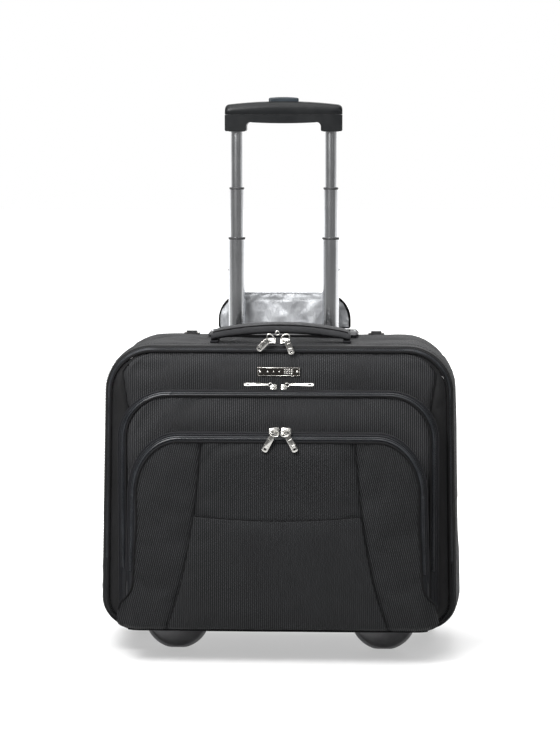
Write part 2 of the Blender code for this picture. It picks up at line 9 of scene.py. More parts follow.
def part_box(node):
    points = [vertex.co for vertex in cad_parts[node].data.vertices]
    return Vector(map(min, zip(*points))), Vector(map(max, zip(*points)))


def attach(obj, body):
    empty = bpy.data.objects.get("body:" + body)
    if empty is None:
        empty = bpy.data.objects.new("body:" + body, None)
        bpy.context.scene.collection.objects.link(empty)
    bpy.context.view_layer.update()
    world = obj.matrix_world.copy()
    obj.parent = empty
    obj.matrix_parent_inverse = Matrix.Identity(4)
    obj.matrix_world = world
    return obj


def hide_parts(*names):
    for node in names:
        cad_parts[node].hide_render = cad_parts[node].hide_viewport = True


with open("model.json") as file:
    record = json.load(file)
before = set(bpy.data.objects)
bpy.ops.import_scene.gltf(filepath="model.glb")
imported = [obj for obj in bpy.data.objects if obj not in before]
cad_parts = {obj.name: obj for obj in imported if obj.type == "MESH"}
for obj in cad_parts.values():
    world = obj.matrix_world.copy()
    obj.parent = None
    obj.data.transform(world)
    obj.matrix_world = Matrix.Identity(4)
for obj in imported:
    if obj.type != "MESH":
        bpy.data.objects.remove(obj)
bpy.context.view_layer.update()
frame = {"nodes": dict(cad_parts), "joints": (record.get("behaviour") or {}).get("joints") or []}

# Sizes, in metres. Depths are measured back from the front rim of the case body, as in the CAD model.
RIM_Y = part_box("front_panel")[1].y + 0.0005
CASE = dict(half_low=0.2115, half_high=0.2065, low=0.034, high=0.375, r_low=0.035, r_high=(0.055, 0.055))
CASE_DEPTH = 0.172
BULGE = ((0.0, 0.0), (0.02, 0.65), (0.06, 1.0), (0.12, 0.95), (CASE_DEPTH, 0.2))
SIDE_BULGE = 0.006
WALL = 0.0026
ZIP_END = 0.118
HOUSING_TOP = 0.102
HOUSING_INNER = 0.157
HOUSING_FRONT = 0.092

LID_CORD = dict(inset=0.0052, depth=-0.0042, r=0.0015)
CASE_CORD = dict(inset=0.0006, depth=0.0030, r=0.0012)
PANEL_INSET = 0.0066
PANEL_FRONT = -0.008
SEAM_TOP = (0.1880, 0.352)
SEAM_LOW = (0.1800, 0.300)

POCKET_1 = dict(half_low=0.1800, half_high=0.1800, low=0.0410, high=0.3195, r_low=0.030,
                r_high=(0.050, 0.050))
POCKET_1_FRONT = -0.035
POCKET_2 = dict(half_low=0.1700, half_high=0.1665, low=0.0450, high=0.2675, r_low=0.030,
                r_high=(0.050, 0.062))
POCKET_2_EDGE = -0.0570
# Half width of the smaller pocket's face, from its foot up to where the rounded top begins
POCKET_2_SIDE = ((0.0400, 0.1740), (0.0440, 0.1860), (0.0520, 0.1915), (0.0640, 0.1895), (0.0740, 0.1865),
                 (0.0820, 0.1785), (0.0920, 0.1725), (0.1100, 0.1700), (0.1350, 0.1688), (0.1700, 0.1660),
                 (0.2055, 0.1665))
# Half width between the two seams down the smaller pocket's face
FACE_SEAM = ((0.040, 0.1330), (0.060, 0.1260), (0.090, 0.1165), (0.120, 0.1095), (0.165, 0.1015),
             (0.200, 0.0970), (0.268, 0.0905))
POCKET_2_FOOT = 0.0415
HEM_EDGE = 0.1805
HEM_SAG = 0.0050
SLIP_FOOT = 0.0445
# Half width and depths of the mouth in the case's top, where the handle comes out
MOUTH = dict(half=0.0885, front=0.1250, back=0.1702)

TUBE_X = (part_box("lower_tube_r")[0].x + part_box("lower_tube_r")[1].x) / 2
TUBE_Y = (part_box("lower_tube_r")[0].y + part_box("lower_tube_r")[1].y) / 2
SIDES = (("l", -1), ("r", 1))


# Small helpers
def smooth(t):
    t = min(1.0, max(0.0, t))
    return t * t * (3 - 2 * t)


def mix(a, b, t):
    return a + (b - a) * t


def table(points, z):
    """Smooth reading of a (height, value) list at a height."""
    if z <= points[0][0]:
        return points[0][1]
    for i, (a, b) in enumerate(zip(points, points[1:])):
        if z <= b[0]:
            before = points[max(0, i - 1)]
            after = points[min(len(points) - 1, i + 2)]
            span = b[0] - a[0]
            m0 = (b[1] - before[1]) / (b[0] - before[0]) * span
            m1 = (after[1] - a[1]) / (after[0] - a[0]) * span
            t = (z - a[0]) / span
            return ((2 * t**3 - 3 * t**2 + 1) * a[1] + (t**3 - 2 * t**2 + t) * m0
                    + (3 * t**2 - 2 * t**3) * b[1] + (t**3 - t**2) * m1)
    return points[-1][1]


def wobble(x, z, size, seed):
    """Gentle unevenness of cloth, between -1 and 1."""
    return noise.noise(Vector((x / size, z / size, seed * 7.3)))


def side_points(size, grow=0.0, rise=None, straight=14, turn=12, top=16, split=None):
    """Right half of a rounded outline from the bottom centre to the top centre, as (x, z) points."""
    rise = grow if rise is None else rise
    rx, rz = size["r_high"]
    low, high = size["low"] - grow, size["high"] + rise
    half_low, half_high = size["half_low"] + grow, size["half_high"] + grow
    r_low = size["r_low"] + grow
    rx, rz = rx + grow, rz + rise
    points = [(i / top * (half_low - r_low), low) for i in range(top)]
    for i in range(turn):
        a = math.radians(-90 + 90 * i / turn)
        points.append((half_low - r_low + r_low * math.cos(a), low + r_low + r_low * math.sin(a)))
    foot, head = low + r_low, high - rz
    levels = [foot, split, head] if split else [foot, head]
    for a, b in zip(levels, levels[1:]):
        for i in range(straight):
            z = mix(a, b, i / straight)
            points.append((mix(half_low, half_high, (z - foot) / (head - foot)), z))
    for i in range(turn):
        a = math.radians(90 * i / turn)
        points.append((half_high - rx + rx * math.cos(a), head + rz * math.sin(a)))
    points += [((1 - i / top) * (half_high - rx), high) for i in range(top + 1)]
    return points


def fine(size, grow, rise=None):
    """The same, with the close points that cords, coils and tapes need."""
    return side_points(size, grow, rise, straight=40, turn=20, top=60)


def whole(points):
    """A right half mirrored into a closed loop, anticlockwise from the front."""
    return points + [(-x, z) for x, z in reversed(points[1:-1])]


def run_above(points, height):
    """The part of a mirrored outline above a height: up the right side, over the top, down the left."""
    right = [p for p in points if p[1] > height]
    below = [p for p in points if p[1] <= height][-1]
    t = (height - below[1]) / (right[0][1] - below[1])
    right.insert(0, (mix(below[0], right[0][0], t), height))
    return right + [(-x, z) for x, z in reversed(right[:-1])]


def half_width(size, z):
    """Half width of a rounded outline at a height."""
    rx, rz = size["r_high"]
    foot, head = size["low"] + size["r_low"], size["high"] - rz
    if z < foot:
        r = size["r_low"]
        return size["half_low"] - r + math.sqrt(max(0.0, r * r - (foot - z) ** 2))
    if z > head:
        return size["half_high"] - rx + rx * math.sqrt(max(0.0, 1 - ((z - head) / rz) ** 2))
    return mix(size["half_low"], size["half_high"], (z - foot) / (head - foot))


def bulged(depth):
    """The case's outline at a depth, swollen between its front and back seams."""
    bulge = SIDE_BULGE * table(BULGE, depth)
    size = dict(CASE)
    size["half_low"] += bulge
    size["half_high"] += bulge * 0.7
    return size


def inset(size, by):
    """The same outline drawn in all round."""
    rx, rz = size["r_high"]
    return dict(half_low=size["half_low"] - by, half_high=size["half_high"] - by, low=size["low"] + by,
                high=size["high"] - by, r_low=size["r_low"] - by, r_high=(rx - by, rz - by))


def levels(size, foot, step=0.005, turn=10):
    """Heights of a panel's rows, closer together where its corners turn."""
    rz = size["r_high"][1]
    head = size["high"] - rz
    r, low = size["r_low"], size["low"]
    zs = [low + r * (1 - math.cos(math.radians(90 * i / turn))) for i in range(turn)] if foot is None else []
    start = low + r if foot is None else foot
    count = round((head - start) / step)
    zs += [mix(start, head, i / count) for i in range(count)]
    return zs + [head + rz * math.sin(math.radians(90 * i / turn)) for i in range(turn + 1)]


def even(points, spacing):
    """Points at even spacing along a line of points, which are tuples of any length."""
    gaps = [math.dist(a, b) for a, b in zip(points, points[1:])]
    total = sum(gaps)
    count = max(2, round(total / spacing))
    found, at, passed = [], 0, 0.0
    for i in range(count + 1):
        want = total * i / count
        while at < len(gaps) - 1 and passed + gaps[at] < want:
            passed += gaps[at]
            at += 1
        t = min(1.0, (want - passed) / gaps[at])
        found.append(tuple(mix(p, q, t) for p, q in zip(points[at], points[at + 1])))
    return found


def at_depth(x, depth, z):
    return Vector((x, RIM_Y + depth, z))


def link(name, data, *materials):
    obj = bpy.data.objects.new(name, data)
    bpy.context.scene.collection.objects.link(obj)
    for material in materials:
        data.materials.append(material)
    return obj


def mesh(name, verts, faces, *materials, indices=None, angle=50):
    data = bpy.data.meshes.new(name)
    data.from_pydata(verts, [], faces)
    if indices:
        data.polygons.foreach_set("material_index", indices)
    data.shade_smooth()
    data.set_sharp_from_angle(angle=math.radians(angle))
    return link(name, data, *materials)


def from_bm(name, bm, *materials, angle=40):
    bmesh.ops.recalc_face_normals(bm, faces=bm.faces)
    data = bpy.data.meshes.new(name)
    bm.to_mesh(data)
    bm.free()
    data.shade_smooth()
    data.set_sharp_from_angle(angle=math.radians(angle))
    return link(name, data, *materials)


def reshape(obj, change):
    """Edits an object's mesh in place."""
    bm = bmesh.new()
    bm.from_mesh(obj.data)
    change(bm)
    bm.to_mesh(obj.data)
    bm.free()
    return obj


def face_outward(obj):
    return reshape(obj, lambda bm: bmesh.ops.recalc_face_normals(bm, faces=bm.faces))


def flip(obj):
    """Turns a sheet's faces to the other side."""
    return reshape(obj, lambda bm: bmesh.ops.reverse_faces(bm, faces=bm.faces))


def block(bm, size, place):
    """Adds a box to a mesh that is being built."""
    verts = bmesh.ops.create_cube(bm, size=1.0)["verts"]
    bmesh.ops.scale(bm, vec=size, verts=verts)
    bmesh.ops.translate(bm, vec=place, verts=verts)
    return verts


def box_piece(name, centre, size, *materials, turn=None):
    bm = bmesh.new()
    block(bm, size, centre)
    if turn is not None:
        bmesh.ops.transform(bm, matrix=turn, verts=bm.verts)
    return from_bm(name, bm, *materials)


def rounded_box(name, centre, size, rounding, material, segments=3, turn=None):
    return bevel(box_piece(name, centre, size, material, turn=turn), rounding, segments)


def cut_away(obj, label, centre, size, turn=None):
    """Cuts a box out of an object. Its other modifiers are kept after the cut."""
    tool = box_piece(label, centre, size, turn=turn)
    modifier = obj.modifiers.new(label, "BOOLEAN")
    modifier.operation = "DIFFERENCE"
    modifier.object = tool
    return tool


def bake_modifiers(obj, tool):
    """Replaces an object's mesh by what its modifiers make of it, and drops the tool that cut it."""
    settled = obj.evaluated_get(bpy.context.evaluated_depsgraph_get())
    made = bpy.data.meshes.new_from_object(settled)
    obj.modifiers.clear()
    obj.data = made
    obj.data.shade_smooth()
    obj.data.set_sharp_from_angle(angle=math.radians(40))
    bpy.data.objects.remove(tool)


def quads(rows, columns, closed=False):
    """Faces of a grid of points laid row after row."""
    span = columns if closed else columns - 1
    faces = []
    for r in range(rows - 1):
        for c in range(span):
            d = (c + 1) % columns
            faces.append((r * columns + c, r * columns + d, (r + 1) * columns + d, (r + 1) * columns + c))
    return faces


def skin(name, rows, *materials, closed=False, flip=False, angle=50):
    """A sheet through rows of points."""
    faces = quads(len(rows), len(rows[0]), closed)
    if flip:
        faces = [face[::-1] for face in faces]
    return mesh(name, [p for row in rows for p in row], faces, *materials, angle=angle)


def tube(name, points, radius, material, closed=False, resolution=3):
    """A round cord or wire through points."""
    curve = bpy.data.curves.new(name, "CURVE")
    curve.dimensions = "3D"
    curve.bevel_depth = radius
    curve.bevel_resolution = resolution
    curve.use_fill_caps = not closed
    spline = curve.splines.new("POLY")
    spline.points.add(len(points) - 1)
    for point, place in zip(spline.points, points):
        point.co = (*place, 1.0)
    spline.use_cyclic_u = closed
    spline.use_smooth = True
    return link(name, curve, material)


def thicken(obj, thickness, offset=-1.0, inner=0):
    modifier = obj.modifiers.new("thickness", "SOLIDIFY")
    modifier.thickness = thickness
    modifier.offset = offset
    modifier.material_offset = inner
    return obj


def subdivide(obj):
    modifier = obj.modifiers.new("finer", "SUBSURF")
    modifier.levels = 1
    modifier.render_levels = 1
    return obj


def bevel(obj, width, segments=3, angle=35):
    modifier = obj.modifiers.new("rounding", "BEVEL")
    modifier.width = width
    modifier.segments = segments
    modifier.angle_limit = math.radians(angle)
    return obj


def soften(obj, pins, pressure, slack=0.004, bend=1.5, cap=0.004, frames=16):
    """Lets cloth settle between pinned points under a little pressure, then keeps the result."""
    scene = bpy.context.scene
    group = obj.vertex_groups.new(name="pins")
    group.add(pins, 1.0, "REPLACE")
    rest = [v.co.copy() for v in obj.data.vertices]
    modifier = obj.modifiers.new("cloth", "CLOTH")
    modifier.point_cache.frame_end = frames
    settings = modifier.settings
    settings.quality = 6
    settings.mass = 0.15
    settings.tension_stiffness = 20
    settings.compression_stiffness = 20
    settings.shear_stiffness = 8
    settings.bending_stiffness = bend
    settings.vertex_group_mass = "pins"
    settings.use_pressure = True
    settings.uniform_pressure_force = pressure
    settings.shrink_min = -slack
    settings.effector_weights.gravity = 0
    for f in range(1, frames + 1):
        scene.frame_set(f)
    settled = obj.evaluated_get(bpy.context.evaluated_depsgraph_get())
    moved = [v.co.copy() for v in settled.data.vertices]
    obj.modifiers.remove(modifier)
    obj.vertex_groups.remove(group)
    for v, before, after in zip(obj.data.vertices, rest, moved):
        step = after - before
        if step.length > cap:
            step *= cap / step.length
        v.co = before + step
    scene.frame_set(1)
    return obj


def done(obj, body, slot, *nodes):
    """Ride on a body and stand for CAD nodes; the slot is not used."""
    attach(obj, body)
    if nodes:
        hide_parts(*nodes)
    return obj


# Materials
class Tree:
    """A Principled material, with short calls for the nodes that drive it."""

    def __init__(self, name, colour, roughness, metallic=0.0, **sockets):
        self.material = bpy.data.materials.new(name)
        self.material.use_nodes = True
        self.tree = self.material.node_tree
        self.shader = self.tree.nodes["Principled BSDF"]
        self.shader.inputs["Base Color"].default_value = (*colour, 1.0)
        self.shader.inputs["Roughness"].default_value = roughness
        self.shader.inputs["Metallic"].default_value = metallic
        for socket, value in sockets.items():
            self.shader.inputs[socket.replace("_", " ")].default_value = value
        self.place = self.add("ShaderNodeTexCoord").outputs["Object"]

    def add(self, kind, **settings):
        node = self.tree.nodes.new(kind)
        for key, value in settings.items():
            setattr(node, key, value)
        return node

    def feed(self, socket, value):
        if isinstance(value, bpy.types.NodeSocket):
            self.tree.links.new(value, socket)
        else:
            socket.default_value = value

    def math(self, operation, a, b=0.0):
        node = self.add("ShaderNodeMath", operation=operation)
        self.feed(node.inputs[0], a)
        self.feed(node.inputs[1], b)
        return node.outputs[0]

    def turned(self, rotation=(0, 0, 0), scale=(1, 1, 1)):
        """The object's coordinates, turned and scaled."""
        node = self.add("ShaderNodeMapping")
        self.feed(node.inputs["Vector"], self.place)
        node.inputs["Rotation"].default_value = [math.radians(a) for a in rotation]
        node.inputs["Scale"].default_value = scale
        return node.outputs[0]

    def split(self, vector):
        node = self.add("ShaderNodeSeparateXYZ")
        self.feed(node.inputs[0], vector)
        return node.outputs

    def noise(self, scale, detail=2.0, vector=None, rough=0.5):
        node = self.add("ShaderNodeTexNoise")
        self.feed(node.inputs["Vector"], vector or self.place)
        node.inputs["Scale"].default_value = scale
        node.inputs["Detail"].default_value = detail
        node.inputs["Roughness"].default_value = rough
        return node.outputs["Fac"]

    def cells(self, scale, vector=None):
        node = self.add("ShaderNodeTexVoronoi")
        self.feed(node.inputs["Vector"], vector or self.place)
        node.inputs["Scale"].default_value = scale
        return node.outputs["Distance"]

    def wave(self, along, pitch, phase=0.0):
        """A wave between 0 and 1 along a coordinate."""
        turns = self.math("MULTIPLY", along, 2 * math.pi / pitch)
        swing = self.math("SINE", self.math("ADD", turns, phase))
        return self.math("MULTIPLY_ADD", swing, 0.5)

    def blend(self, factor, a, b):
        node = self.add("ShaderNodeMix", data_type="RGBA")
        self.feed(node.inputs["Factor"], factor)
        self.feed(node.inputs["A"], (*a, 1.0) if isinstance(a, tuple) else a)
        self.feed(node.inputs["B"], (*b, 1.0) if isinstance(b, tuple) else b)
        return node.outputs["Result"]

    def range(self, value, low, high, from_low=0.0, from_high=1.0):
        node = self.add("ShaderNodeMapRange")
        self.feed(node.inputs["Value"], value)
        node.inputs["From Min"].default_value = from_low
        node.inputs["From Max"].default_value = from_high
        node.inputs["To Min"].default_value = low
        node.inputs["To Max"].default_value = high
        return node.outputs[0]

    def colour(self, value):
        self.feed(self.shader.inputs["Base Color"], value)

    def rough(self, value, low, high):
        self.feed(self.shader.inputs["Roughness"], self.range(value, low, high))

    def bump(self, height, distance, strength=1.0, under=None):
        node = self.add("ShaderNodeBump")
        node.inputs["Distance"].default_value = distance
        node.inputs["Strength"].default_value = strength
        self.feed(node.inputs["Height"], height)
        if under is not None:
            self.feed(node.inputs["Normal"], under)
        self.feed(self.shader.inputs["Normal"], node.outputs[0])
        return node.outputs[0]


def ribbed(name, turn=0.0, across="X", light=(0.048, 0.049, 0.052)):
    """Black nylon with fine ribs broken into ticks. Turn tilts the ribs in the XZ plane."""
    dark = (0.001, 0.001, 0.001)
    t = Tree(name, light, 0.58, Specular_IOR_Level=0.12, Sheen_Weight=0.01, Sheen_Roughness=0.4)
    x, y, z = t.split(t.turned((0, turn, 0)))
    u = {"X": x, "Y": y, "Z": z}[across]
    v = {"X": z, "Y": t.math("ADD", x, z), "Z": x}[across]
    pitch = 0.00235
    rib = t.range(t.wave(u, pitch), 0.0, 1.0, 0.40, 0.95)
    column = t.math("FLOOR", t.math("DIVIDE", u, pitch))
    tick = t.wave(v, 0.0017, t.math("MULTIPLY", column, 2.4))
    weave = t.math("MULTIPLY", rib, t.range(tick, 0.4, 1.0))
    fibre = t.noise(2600, 3.0)
    patch = t.noise(22, 3.0)
    thread = t.math("ADD", weave, t.math("MULTIPLY", fibre, 0.25))
    tone = t.math("MULTIPLY", thread, t.range(patch, 0.7, 1.25))
    t.colour(t.blend(tone, dark, light))
    t.rough(patch, 0.55, 0.72)
    first = t.bump(weave, 0.0007)
    t.bump(fibre, 0.00012, 0.6, first)
    return t.material


def plain_weave(name, dark=(0.002, 0.002, 0.002), light=(0.011, 0.011, 0.012), pitch=0.0009, roughness=0.62):
    """Smooth tightly woven cloth, seen as a fine check of threads."""
    t = Tree(name, light, roughness, Specular_IOR_Level=0.16, Sheen_Weight=0.02, Sheen_Roughness=0.4)
    x, y, z = t.split(t.place)
    across = t.wave(t.math("ADD", x, t.math("MULTIPLY", y, 0.7)), pitch)
    along = t.wave(t.math("ADD", z, t.math("MULTIPLY", y, 0.7)), pitch)
    weave = t.math("MULTIPLY", across, along)
    patch = t.noise(26, 4.0)
    fibre = t.noise(3200, 2.0)
    tone = t.math("ADD", t.math("MULTIPLY", weave, 0.5), t.math("MULTIPLY", patch, 0.6))
    t.colour(t.blend(tone, dark, light))
    t.rough(patch, roughness - 0.06, roughness + 0.10)
    first = t.bump(weave, 0.0002)
    t.bump(fibre, 0.0001, 0.5, first)
    return t.material


def lining_cloth(name):
    """Silver-grey coated nylon: a faint thread grid under a soft gloss, with creases bumped in and painted
    lighter on their ridges and darker in their hollows.
    """
    t = Tree(name, (0.7, 0.7, 0.7), 0.42, 0.25, Specular_IOR_Level=0.6)
    x, y, z = t.split(t.place)
    weave = t.math("MULTIPLY", t.wave(x, 0.0008), t.wave(t.math("ADD", z, y), 0.0008))
    crease = t.noise(60, 5.0, t.turned(scale=(1, 1, 0.5)), 0.6)
    patch = t.noise(18, 3.0)
    # Painted light and shade along the creases: the crease noise lightens and darkens the colour as well as
    # bumping the surface.
    crease_shading = t.math("MULTIPLY", t.range(crease, 0.0, 1.0, 0.3, 0.7), 0.45)
    shade = t.math("ADD", crease_shading, t.math("MULTIPLY", patch, 0.4))
    shade = t.math("ADD", shade, t.math("MULTIPLY", weave, 0.15))
    t.colour(t.blend(shade, (0.16, 0.165, 0.175), (0.43, 0.44, 0.455)))
    t.rough(crease, 0.34, 0.55)
    first = t.bump(crease, 0.0035, 0.7)
    t.bump(weave, 0.0001, 0.6, first)
    return t.material


def plastic(name, dark, light, roughness, grain=1500, depth=0.00008, scuff=0.08, gloss=0.4):
    """Moulded plastic with a fine spark-eroded grain and a few rubbed spots."""
    t = Tree(name, light, roughness, Specular_IOR_Level=gloss)
    speckle = t.cells(grain)
    wear = t.noise(45, 6.0, rough=0.65)
    t.colour(t.blend(t.range(wear, 0.0, 1.0, 0.35, 0.68), dark, light))
    t.rough(wear, roughness - scuff, roughness + scuff)
    first = t.bump(speckle, depth)
    t.bump(wear, 0.0003, 0.3, first)
    return t.material


def metal(name, dark, light, roughness, stretch=(1, 1, 1), scratch=900, spread=0.06):
    """Metal with fine scratches drawn out along one direction."""
    t = Tree(name, light, roughness, 1.0)
    lines = t.noise(scratch, 4.0, t.turned(scale=stretch), 0.6)
    cloud = t.noise(30, 3.0)
    t.colour(t.blend(cloud, dark, light))
    t.rough(t.math("ADD", t.math("MULTIPLY", lines, 0.7), t.math("MULTIPLY", cloud, 0.3)),
            roughness - spread, roughness + spread)
    t.bump(lines, 0.00003, 0.5)
    return t.material


def rubber(name):
    t = Tree(name, (0.02, 0.02, 0.02), 0.8, Specular_IOR_Level=0.3)
    dust = t.noise(70, 6.0, rough=0.7)
    t.colour(t.blend(dust, (0.010, 0.010, 0.010), (0.050, 0.048, 0.045)))
    t.rough(dust, 0.70, 0.92)
    t.bump(t.noise(1600, 3.0), 0.0001)
    return t.material


def tape_cloth(name, dark=(0.001, 0.001, 0.002), light=(0.009, 0.010, 0.012)):
    """Zip tape: a close twill in two directions."""
    t = Tree(name, light, 0.6, Specular_IOR_Level=0.18)
    x, y, z = t.split(t.place)
    diagonal = t.math("ADD", x, t.math("ADD", z, t.math("MULTIPLY", y, 0.5)))
    twill = t.wave(diagonal, 0.0011)
    patch = t.noise(40, 3.0)
    t.colour(t.blend(t.math("MULTIPLY", t.math("ADD", twill, patch), 0.5), dark, light))
    t.rough(patch, 0.52, 0.70)
    t.bump(twill, 0.00018)
    return t.material


# Painted shade: a darker light tone for the ribbed nylon of the smaller pocket's face and the slip pocket,
# which are the same cloth as the rest of the front.
SHADED_RIBS = (0.029, 0.030, 0.032)
LENGTHWISE = (1, 1, 0.02)
M = dict(
    ribs=ribbed("ribbed_nylon"),
    # Darker copies of the ribbed nylon: painted shade on the lower front.
    ribs_shaded=ribbed("ribbed_nylon_shaded", light=SHADED_RIBS),
    ribs_shaded_left=ribbed("ribbed_nylon_shaded_left", turn=-14, light=SHADED_RIBS),
    ribs_shaded_right=ribbed("ribbed_nylon_shaded_right", turn=14, light=SHADED_RIBS),
    ribs_round=ribbed("ribbed_nylon_round", across="Y"),
    plain=plain_weave("smooth_nylon"),
    # Painted light: a lighter copy of the smooth nylon for the carry handle's strap, standing in for the
    # light on its top.
    strap=plain_weave("strap_nylon_lit", (0.010, 0.010, 0.011), (0.050, 0.051, 0.054)),
    # Painted light: a much lighter copy of the black moulding for the feet, against the shadow they stand in.
    foot=plastic("foot_plastic_lit", (0.110, 0.110, 0.114), (0.150, 0.150, 0.155), 0.6),
    binding=plain_weave("binding_tape", (0.002, 0.002, 0.003), (0.010, 0.010, 0.012), 0.0012),
    cord=plain_weave("covered_cord", (0.001, 0.001, 0.001), (0.005, 0.005, 0.006), 0.0010, 0.85),
    thread=plain_weave("thread", (0.012, 0.012, 0.013), (0.040, 0.040, 0.043), 0.0005, 0.5),
    grey_thread=plain_weave("grey_thread", (0.16, 0.16, 0.17), (0.34, 0.34, 0.35), 0.0005, 0.5),
    tape=tape_cloth("zip_tape"),
    coil=plastic("zip_coil", (0.006, 0.007, 0.009), (0.022, 0.024, 0.028), 0.40, 3000, 0.00003),
    lining=lining_cloth("coated_lining"),
    moulding=plastic("black_moulding", (0.022, 0.022, 0.023), (0.034, 0.034, 0.036), 0.52),
    grip=plastic("grip_plastic", (0.005, 0.0055, 0.006), (0.009, 0.0095, 0.010), 0.36, 2200, 0.00003,
                 scuff=0.05, gloss=0.13),
    button=plastic("button_plastic", (0.010, 0.014, 0.018), (0.016, 0.022, 0.028), 0.32, 2200, 0.00002,
                   scuff=0.05, gloss=0.25),
    rubber=rubber("tyre_rubber"),
    nickel=metal("polished_nickel", (0.44, 0.43, 0.41), (0.64, 0.63, 0.60), 0.20),
    aluminium=metal("satin_aluminium", (0.56, 0.57, 0.59), (0.74, 0.75, 0.76), 0.20, LENGTHWISE, 1400,
                    0.05),
    steel=metal("drawn_steel", (0.36, 0.37, 0.38), (0.52, 0.53, 0.54), 0.32, (1, 1, 0.04)),
    gunmetal=metal("gunmetal", (0.035, 0.032, 0.030), (0.110, 0.100, 0.090), 0.26, (0.05, 1, 1)),
)


# Panels
def panel(name, zs, breaks, counts, place, materials, seam=0.0018, seam_width=0.0026, angle=60):
    """A face built in rows across its width, in sections between seams. Returns it with its pins."""
    rows, columns, seams = [], [], []
    for count in counts:
        seams.append(len(columns))
        shares = [0.55 * i / count + 0.45 * (1 - math.cos(math.pi * i / count)) / 2 for i in range(count)]
        columns += [(len(seams) - 1, share) for share in shares]
    seams.append(len(columns))
    columns.append((len(counts) - 1, 1.0))
    for z in zs:
        edges = [at(z) for at in breaks]
        row = []
        for section, share in columns:
            x = mix(edges[section], edges[section + 1], share)
            point = place(x, z)
            for edge in edges[1:-1]:
                point.y += seam * math.exp(-((x - edge) / seam_width) ** 2)
            row.append(point)
        rows.append(row)
    obj = skin(name, rows, *materials, angle=angle)
    width = len(columns)
    sections = [columns[c][0] for c in range(width - 1)]
    picks = [min(sections[i % (width - 1)], len(materials) - 1) for i in range(len(obj.data.polygons))]
    obj.data.polygons.foreach_set("material_index", picks)
    last = len(zs) - 1
    pins = [r * width + c for r in range(len(zs)) for c in range(width)
            if r in (0, last) or c in seams]
    return obj, pins


def between(width):
    """A panel's two side edges, from its half width at a height."""
    return [lambda z: -width(z), width]


def stitches(name, line, material, length=0.0026, gap=0.0012, radius=0.00028):
    """A row of thread stitches along a line of points."""
    spots = even([tuple(p) for p in line], length + gap)
    verts, faces = [], []
    for a, b in zip(spots, spots[1:]):
        start, end = Vector(a), Vector(b)
        way = (end - start).normalized()
        side = way.orthogonal().normalized()
        up = way.cross(side)
        base = len(verts)
        for share, size in ((0.0, 0.4), (0.25, 1.0), (0.75, 1.0), (1.0, 0.4)):
            centre = start + way * (length * share)
            for k in range(6):
                turn = k * math.pi / 3
                verts.append(centre + (side * math.cos(turn) + up * math.sin(turn)) * radius * size)
        faces += [tuple(base + i for i in face) for face in quads(4, 6, True)]
        faces.append(tuple(base + 5 - k for k in range(6)))
        faces.append(tuple(base + 18 + k for k in range(6)))
    return mesh(name, verts, faces, material)


def zip_teeth(name, line, out, normal, side, half=0.0021, pitch=0.0014, height=0.0010):
    """One side's coil teeth along a line: low hoops. Out and normal give directions at each point."""
    spots = even([(*p, *o, *n) for p, o, n in zip(line, out, normal)], pitch)
    verts, faces = [], []
    wide = pitch * 0.36
    for i in range(len(spots) - 1):
        centre = Vector(spots[i][:3])
        across = Vector(spots[i][3:6]).normalized()
        up = Vector(spots[i][6:9]).normalized()
        way = across.cross(up).normalized()
        shift = 0.25 * pitch * side
        base = len(verts)
        for reach, lift in ((0.05, 0.55), (0.35, 1.0), (0.75, 0.9), (1.0, 0.1)):
            middle = centre + way * shift + across * (side * half * reach) + up * (height * lift)
            for a, b in ((-1, -0.5), (1, -0.5), (0.7, 0.3), (-0.7, 0.3)):
                verts.append(middle + way * (wide * a) + up * (height * 0.6 * b))
        faces += [tuple(base + k for k in face) for face in quads(4, 4, True)]
        faces.append((base, base + 1, base + 2, base + 3))
        faces.append((base + 15, base + 14, base + 13, base + 12))
    return face_outward(mesh(name, verts, faces, M["coil"], angle=30))


def directions(points):
    """Outward directions in the XZ plane along an open outline that runs anticlockwise."""
    found = []
    for i in range(len(points)):
        a, b = points[max(0, i - 1)], points[min(len(points) - 1, i + 1)]
        way = Vector((b[0] - a[0], 0, b[1] - a[1])).normalized()
        found.append(Vector((way.z, 0, -way.x)))
    return found


# Case body
def case_ring(depth):
    points = side_points(bulged(depth), straight=10, turn=10, top=44, split=HOUSING_TOP)
    return [at_depth(x, depth, z) for x, z in whole(points)]


def make_gusset():
    """Side wall: one soft skin round the case, sewn at the front and back, open for the handle."""
    depths = [0.0, 0.004, 0.009, 0.012, 0.014, 0.018] + [0.024 + 0.0068 * i for i in range(10)]
    depths += [HOUSING_FRONT, 0.098, 0.104, 0.110, 0.116, 0.1205]
    depths += [MOUTH["front"] + 0.006 * i for i in range(7)] + [0.1660, MOUTH["back"], CASE_DEPTH]
    rows = []
    for depth in depths:
        row = case_ring(depth)
        middle = math.sin(math.pi * depth / CASE_DEPTH)
        for i, p in enumerate(row):
            outward = Vector((p.x * 0.6, 0, p.z - 0.2)).normalized()
            slack = 0.0014 * wobble(p.x + p.z * 0.6, depth, 0.045, 3) * middle
            seam = -0.0011 * math.exp(-((depth - 0.0125) / 0.0014) ** 2)
            row[i] = p + outward * (slack + seam)
        rows.append(row)
    obj = skin("case_gusset", rows, M["ribs_round"], M["lining"], closed=True, flip=True)
    columns = len(rows[0])
    fixed = (0, 1, 2, 3, 4, len(rows) - 2, len(rows) - 1)
    pins = [r * columns + c for r in fixed for c in range(columns)]
    # Held round the handle's mouth and under the carry handle
    for half, front, back in ((0.098, 0.116, 1.0), (0.10, 0.040, 0.086)):
        pins += [v.index for v in obj.data.vertices
                 if abs(v.co.x) < half and front < v.co.y - RIM_Y < back and v.co.z > 0.3]
    soften(obj, sorted(set(pins)), 1.2, slack=0.006, bend=2.5, cap=0.0022)
    cut_openings(obj)
    thicken(obj, WALL, inner=1)
    done(obj, "case", "body_fabric", "gusset_shell")


